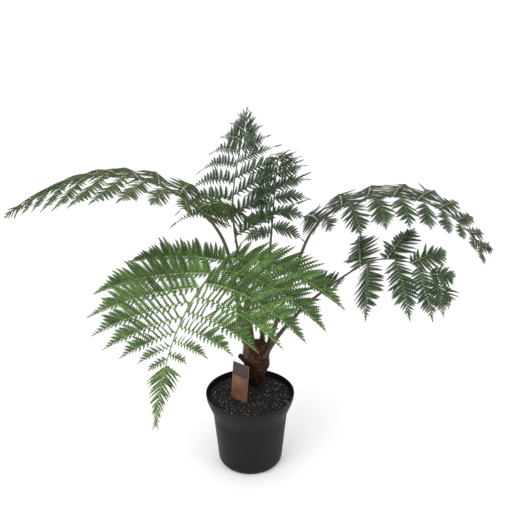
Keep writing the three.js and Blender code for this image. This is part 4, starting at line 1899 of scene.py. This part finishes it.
@dataclass(frozen=True)
class LobedBlade:
    """Many lobed leaflets at once: one row of each array for each.

    Every leaflet is a strip of three columns, edge, vein and edge, whose half width rises and falls
    with each lobe. It bends towards the tip of what carries it and sags with the square of the
    distance, and its edges stand lower than its vein.
    """

    point: Array
    along: Array
    face: Array
    length: Array
    half: Array
    pull: Array
    lobes: int
    notch: float = 0.28

    LOBE_POINT = 0.66
    END_WIDTH = 0.05
    LEAST_WIDTH = 0.01
    NARROWING = (1.9, 0.85)
    BEND = 0.1
    SAG = 0.9
    FORWARD = 0.4
    EDGE_DROP = 0.28
    VEIN_PLACES = (0.0, 0.9, 4)
    VEIN_RADIUS = (0.3, 0.12)
    VEIN_PROUD = 0.12
    VEIN_FULL = 36.0
    VEIN_LEAST = 0.45

    def rows(self) -> tuple[Array, Array]:
        """Place and half width along a leaflet, as shares.

        Each lobe has two rows: its notch and, further on, its point. The whole is widest at the foot
        and narrows with a power of the place towards the point.

        Returns:
            Places and half widths.
        """
        lobe = np.arange(self.lobes)[:, None] / self.lobes
        place = np.append((lobe + np.array([0.0, self.LOBE_POINT]) / self.lobes).ravel(), 1.0)
        depth = np.append(np.tile([self.notch, 1.0], self.lobes), self.END_WIDTH)
        depth[0] = 1.0
        inner, outer = self.NARROWING
        return place, (1 - place**inner) ** outer * depth + self.LEAST_WIDTH

    def middle(self, place: Array) -> Array:
        """Points of the vein: straight on, bent towards the pull, and sagging.

        Args:
            place: places along a leaflet.

        Returns:
            Array of leaflets x places x 3.
        """
        x = place[None, :, None] * self.length[:, None, None]
        bend = self.BEND * place[None, :, None] * x
        return (self.point[:, None] + self.along[:, None] * x + self.pull[:, None] * bend
                - UP * bend * self.SAG)

    def surface(self) -> Array:
        """The strips: edges to each side of the vein, a little forward of it and lower.

        Returns:
            Grids of leaflets x rows x 3 x 3.
        """
        place, width = self.rows()
        middle = self.middle(place)
        across = np.cross(self.face, self.along)
        reach = (width[None] * self.half[:, None])[..., None]
        forward = self.along[:, None] * reach * self.FORWARD
        drop = self.face[:, None] * reach * self.EDGE_DROP
        columns = [middle + side * across[:, None] * reach + forward - drop for side in (-1, 1)]
        return np.stack([columns[0], middle, columns[1]], 2)

    def vein(self) -> Array:
        """The middle veins: three-sided limbs lying in the leaflets' upper side.

        Returns:
            Grids of leaflets x rows x 3 x 3.
        """
        place = np.linspace(*self.VEIN_PLACES)
        middle = self.middle(place) + self.face[:, None] * self.VEIN_PROUD
        stout = np.clip(self.length / self.VEIN_FULL, self.VEIN_LEAST, 1.0)[:, None]
        radius = mix(*self.VEIN_RADIUS, place)[None] * stout
        across = np.cross(self.along, self.face)
        across, face = (np.broadcast_to(one[:, None], middle.shape) for one in (across, self.face))
        return tubes(middle, across, face, radius, 3)


FRONDS = (
    Frond(name="front", foot=(-6, -14, 276), foot_radius=7.5, azimuth=(212, 264), lean=(0, 100, 142),
          shoulder=(0.436, 0.148), length=684, blade=0.416, reach=(285, 280), pairs=18, crowd=2.25,
          opening=((98, 69), (80, 40)), lift=((11, 11), (9, 9)), sag=(0.92, 0.59), twist=(3, -6),
          first=(0.95, 0.77), outline=(0.72, 2.0), light=PaintedLight.BRIGHT, fold=(-30, 4),
          spread=(0.22, 0.22), short=(1.0, 0.32), pitch=(2.6, 0.017), loose=0.65, fill=(0.34, 1.08),
          drawn=0.72, seed=11),
    Frond(name="left", foot=(-6, 8, 280), foot_radius=6.5, azimuth=(181, 209), lean=(9, 51, 128),
          shoulder=(0.52, 0.274), length=779, blade=0.447, reach=(229, 230), pairs=12, crowd=1.35,
          opening=((89, 39), (133, 36)), lift=((25, -11), (25, -30)), sag=(0.04, 0.84), twist=(14, 8),
          first=(0.76, 1.20), outline=(0.9, 2.2), light=PaintedLight.MIDDLE, fold=(10, 24),
          spread=(0.1, 0.2), pitch=(3.0, 0.022), fill=(0.85, 1.0), seed=12),
    Frond(name="back", foot=(6, 24, 286), foot_radius=6, azimuth=(181, 30), lean=(6, 34, 9),
          shoulder=(0.629, 0.517), length=540, blade=0.443, reach=(230, 229), pairs=12, crowd=2.06,
          opening=((40, 91), (76, 74)), lift=((-13, 25), (25, -17)), sag=(1.11, 0.13), twist=(40, 38),
          first=(-0.54, 0.84), outline=(1.00, 2.40), light=PaintedLight.SHADED, fold=(62, 4),
          spread=(0.145, 0.145), short=(0.5, 1.0), fill=(0.74, 0.9), tail=0.62, broad=1.5, drawn=0.86,
          seed=13),
    Frond(name="back_right", foot=(26, 22, 286), foot_radius=6, azimuth=(74, 87), lean=(21, 32, 103),
          shoulder=(0.625, 0.488), length=517, blade=0.493, reach=(103, 104), pairs=10, crowd=1.3,
          opening=((83, 63), (98, 52)), lift=((4, 4), (16, 16)), sag=(1.16, 0.78), twist=(39, 4),
          first=(0.96, 1.0), outline=(1, 2.2), light=PaintedLight.SHADED, fold=(55, 6), spread=(0.2, 0.2),
          fill=(0.8, 0.95), tail=0.65, broad=1.2, seed=14),
    Frond(name="right", foot=(37, 5, 280), foot_radius=6, azimuth=(27, -35), lean=(19, 69, 143),
          shoulder=(0.584, 0.248), length=711, blade=0.449, reach=(142, 144), pairs=9, crowd=1.38,
          opening=((95, 74), (75, 69)), lift=((2, 3), (21, 15)), sag=(0.75, 0.86), twist=(-11, -11),
          first=(0.9, 0.47), outline=(0.99, 2.3), light=PaintedLight.DEEP_SHADE, fold=(14, 20),
          spread=(0.34, 0.21), fill=(1.0, 1.05), seed=15),
    Frond(name="low_right", foot=(31, -12, 274), foot_radius=5.5, azimuth=(2, -46), lean=(25, 49, 140),
          shoulder=(0.572, 0.739), length=542, blade=0.451, reach=(112, 230), pairs=7, crowd=1.79,
          opening=((128, 30), (102, 31)), lift=((24, 7), (23, 12)), sag=(1.14, 0.61), twist=(7, -39),
          first=(0.70, -0.53), outline=(1.00, 2.40), light=PaintedLight.DEEP_SHADE, fold=(8, 22),
          spread=(0.42, 0.155), fill=(0.9, 1.02), seed=16),
)


# ---- Studio ----


@dataclass(frozen=True)
class Lamp:
    """A round soft lamp: where it hangs, how wide it is and how strong, in metres and watts."""

    name: str
    place: Triple
    size: float
    power: float

    def build(self, aim: Triple) -> None:
        """Hangs the lamp and turns it to a point.

        Args:
            aim: the point.
        """
        lamp = bpy.data.lights.new(self.name, "AREA")
        lamp.shape = "DISK"
        lamp.size = self.size
        lamp.energy = self.power
        holder = place_object(self.name, lamp)
        holder.location = self.place
        x, y, z = np.array(aim) - np.array(self.place)
        holder.rotation_mode = "XYZ"
        holder.rotation_euler = (math.pi / 2 + math.atan2(z, math.hypot(x, y)), 0.0,
                                 math.atan2(y, x) - math.pi / 2)


@dataclass(frozen=True)
class Studio:
    """A plain pale floor, soft even light and the camera, in metres and degrees."""

    camera_place: Triple = (0.027, -1.6, 1.172)
    camera_pitch: float = 22.85
    lens: float = 56.3
    sensor: float = 36.0
    farthest: float = 200.0
    floor_size: float = 60.0
    floor_level: float = -0.0002
    sky: float = 1.05
    lamps: tuple[Lamp, ...] = (Lamp("key", (-1.6, -2.2, 3.0), 2.4, 60.0),
                               Lamp("fill", (2.2, -1.4, 1.8), 2.0, 18.0))
    middle: Triple = (0.0, 0.0, 0.4)

    def build(self) -> None:
        """Sets the floor, the lights and the camera."""
        self._floor()
        self._surround()
        for lamp in self.lamps:
            lamp.build(self.middle)
        self._camera()

    def _floor(self) -> None:
        """A wide level floor, a hair under the pot."""
        half = self.floor_size / 2
        side = np.linspace(-half, half, 3) / MM
        x, y = np.meshgrid(side, side, indexing="ij")
        skin = Skin()
        skin.grids(np.stack([x, y, np.full_like(x, self.floor_level / MM)], -1)[None])
        mesh = skin.mesh("floor", True)
        mesh.materials.append(PlainFloor().material())
        place_object("floor", mesh)

    def _surround(self) -> None:
        """An even white surround."""
        world = bpy.data.worlds.new("soft_surround")
        world.use_nodes = True
        background = world.node_tree.nodes["Background"]
        background.inputs["Color"].default_value = (1.0, 1.0, 1.0, 1.0)
        background.inputs["Strength"].default_value = self.sky
        bpy.context.scene.world = world

    def _camera(self) -> None:
        """The camera, level from side to side and tipped down a little."""
        data = bpy.data.cameras.new("camera")
        data.sensor_width = self.sensor
        data.lens = self.lens
        data.clip_end = self.farthest
        camera = place_object("camera", data)
        camera.location = self.camera_place
        camera.rotation_euler = (math.radians(90 - self.camera_pitch), 0.0, 0.0)
        bpy.context.scene.camera = camera


# ---- The whole plant ----


@dataclass(frozen=True)
class PottedFern:
    """The pot, what fills it, and the plant."""

    pot: Pot = Pot()
    label: PlantLabel = PlantLabel()
    trunk: Trunk = Trunk()
    fronds: tuple[Frond, ...] = FRONDS

    def build(self) -> None:
        """Makes every part of the plant in order."""
        self.pot.build()
        compost = PottingMix(self.pot)
        compost.build()
        Rootlets(compost).build()
        self.label.build()
        self.trunk.build()
        LooseFibres(self.trunk).build()
        OldStub().build()
        for frond in self.fronds:
            blades = sorted(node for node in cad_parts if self._is_blade(node, frond.name))
            frond.build([f"stipe_{frond.name}", *blades])

    @staticmethod
    def _is_blade(node: str, name: str) -> bool:
        """Whether a solid is a blade of this frond."""
        return node in (f"frond_{name}", f"frond_{name}_inner", f"frond_{name}_tip")


def report_size() -> None:
    """Updates the view layer."""
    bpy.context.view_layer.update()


def main() -> None:
    """Builds the studio and the plant."""
    logging.basicConfig(level=logging.INFO, format="%(message)s")
    bpy.context.scene.view_settings.view_transform = "Standard"
    Studio().build()
    PottedFern().build()
    report_size()


if __name__ == "__main__":
    main()
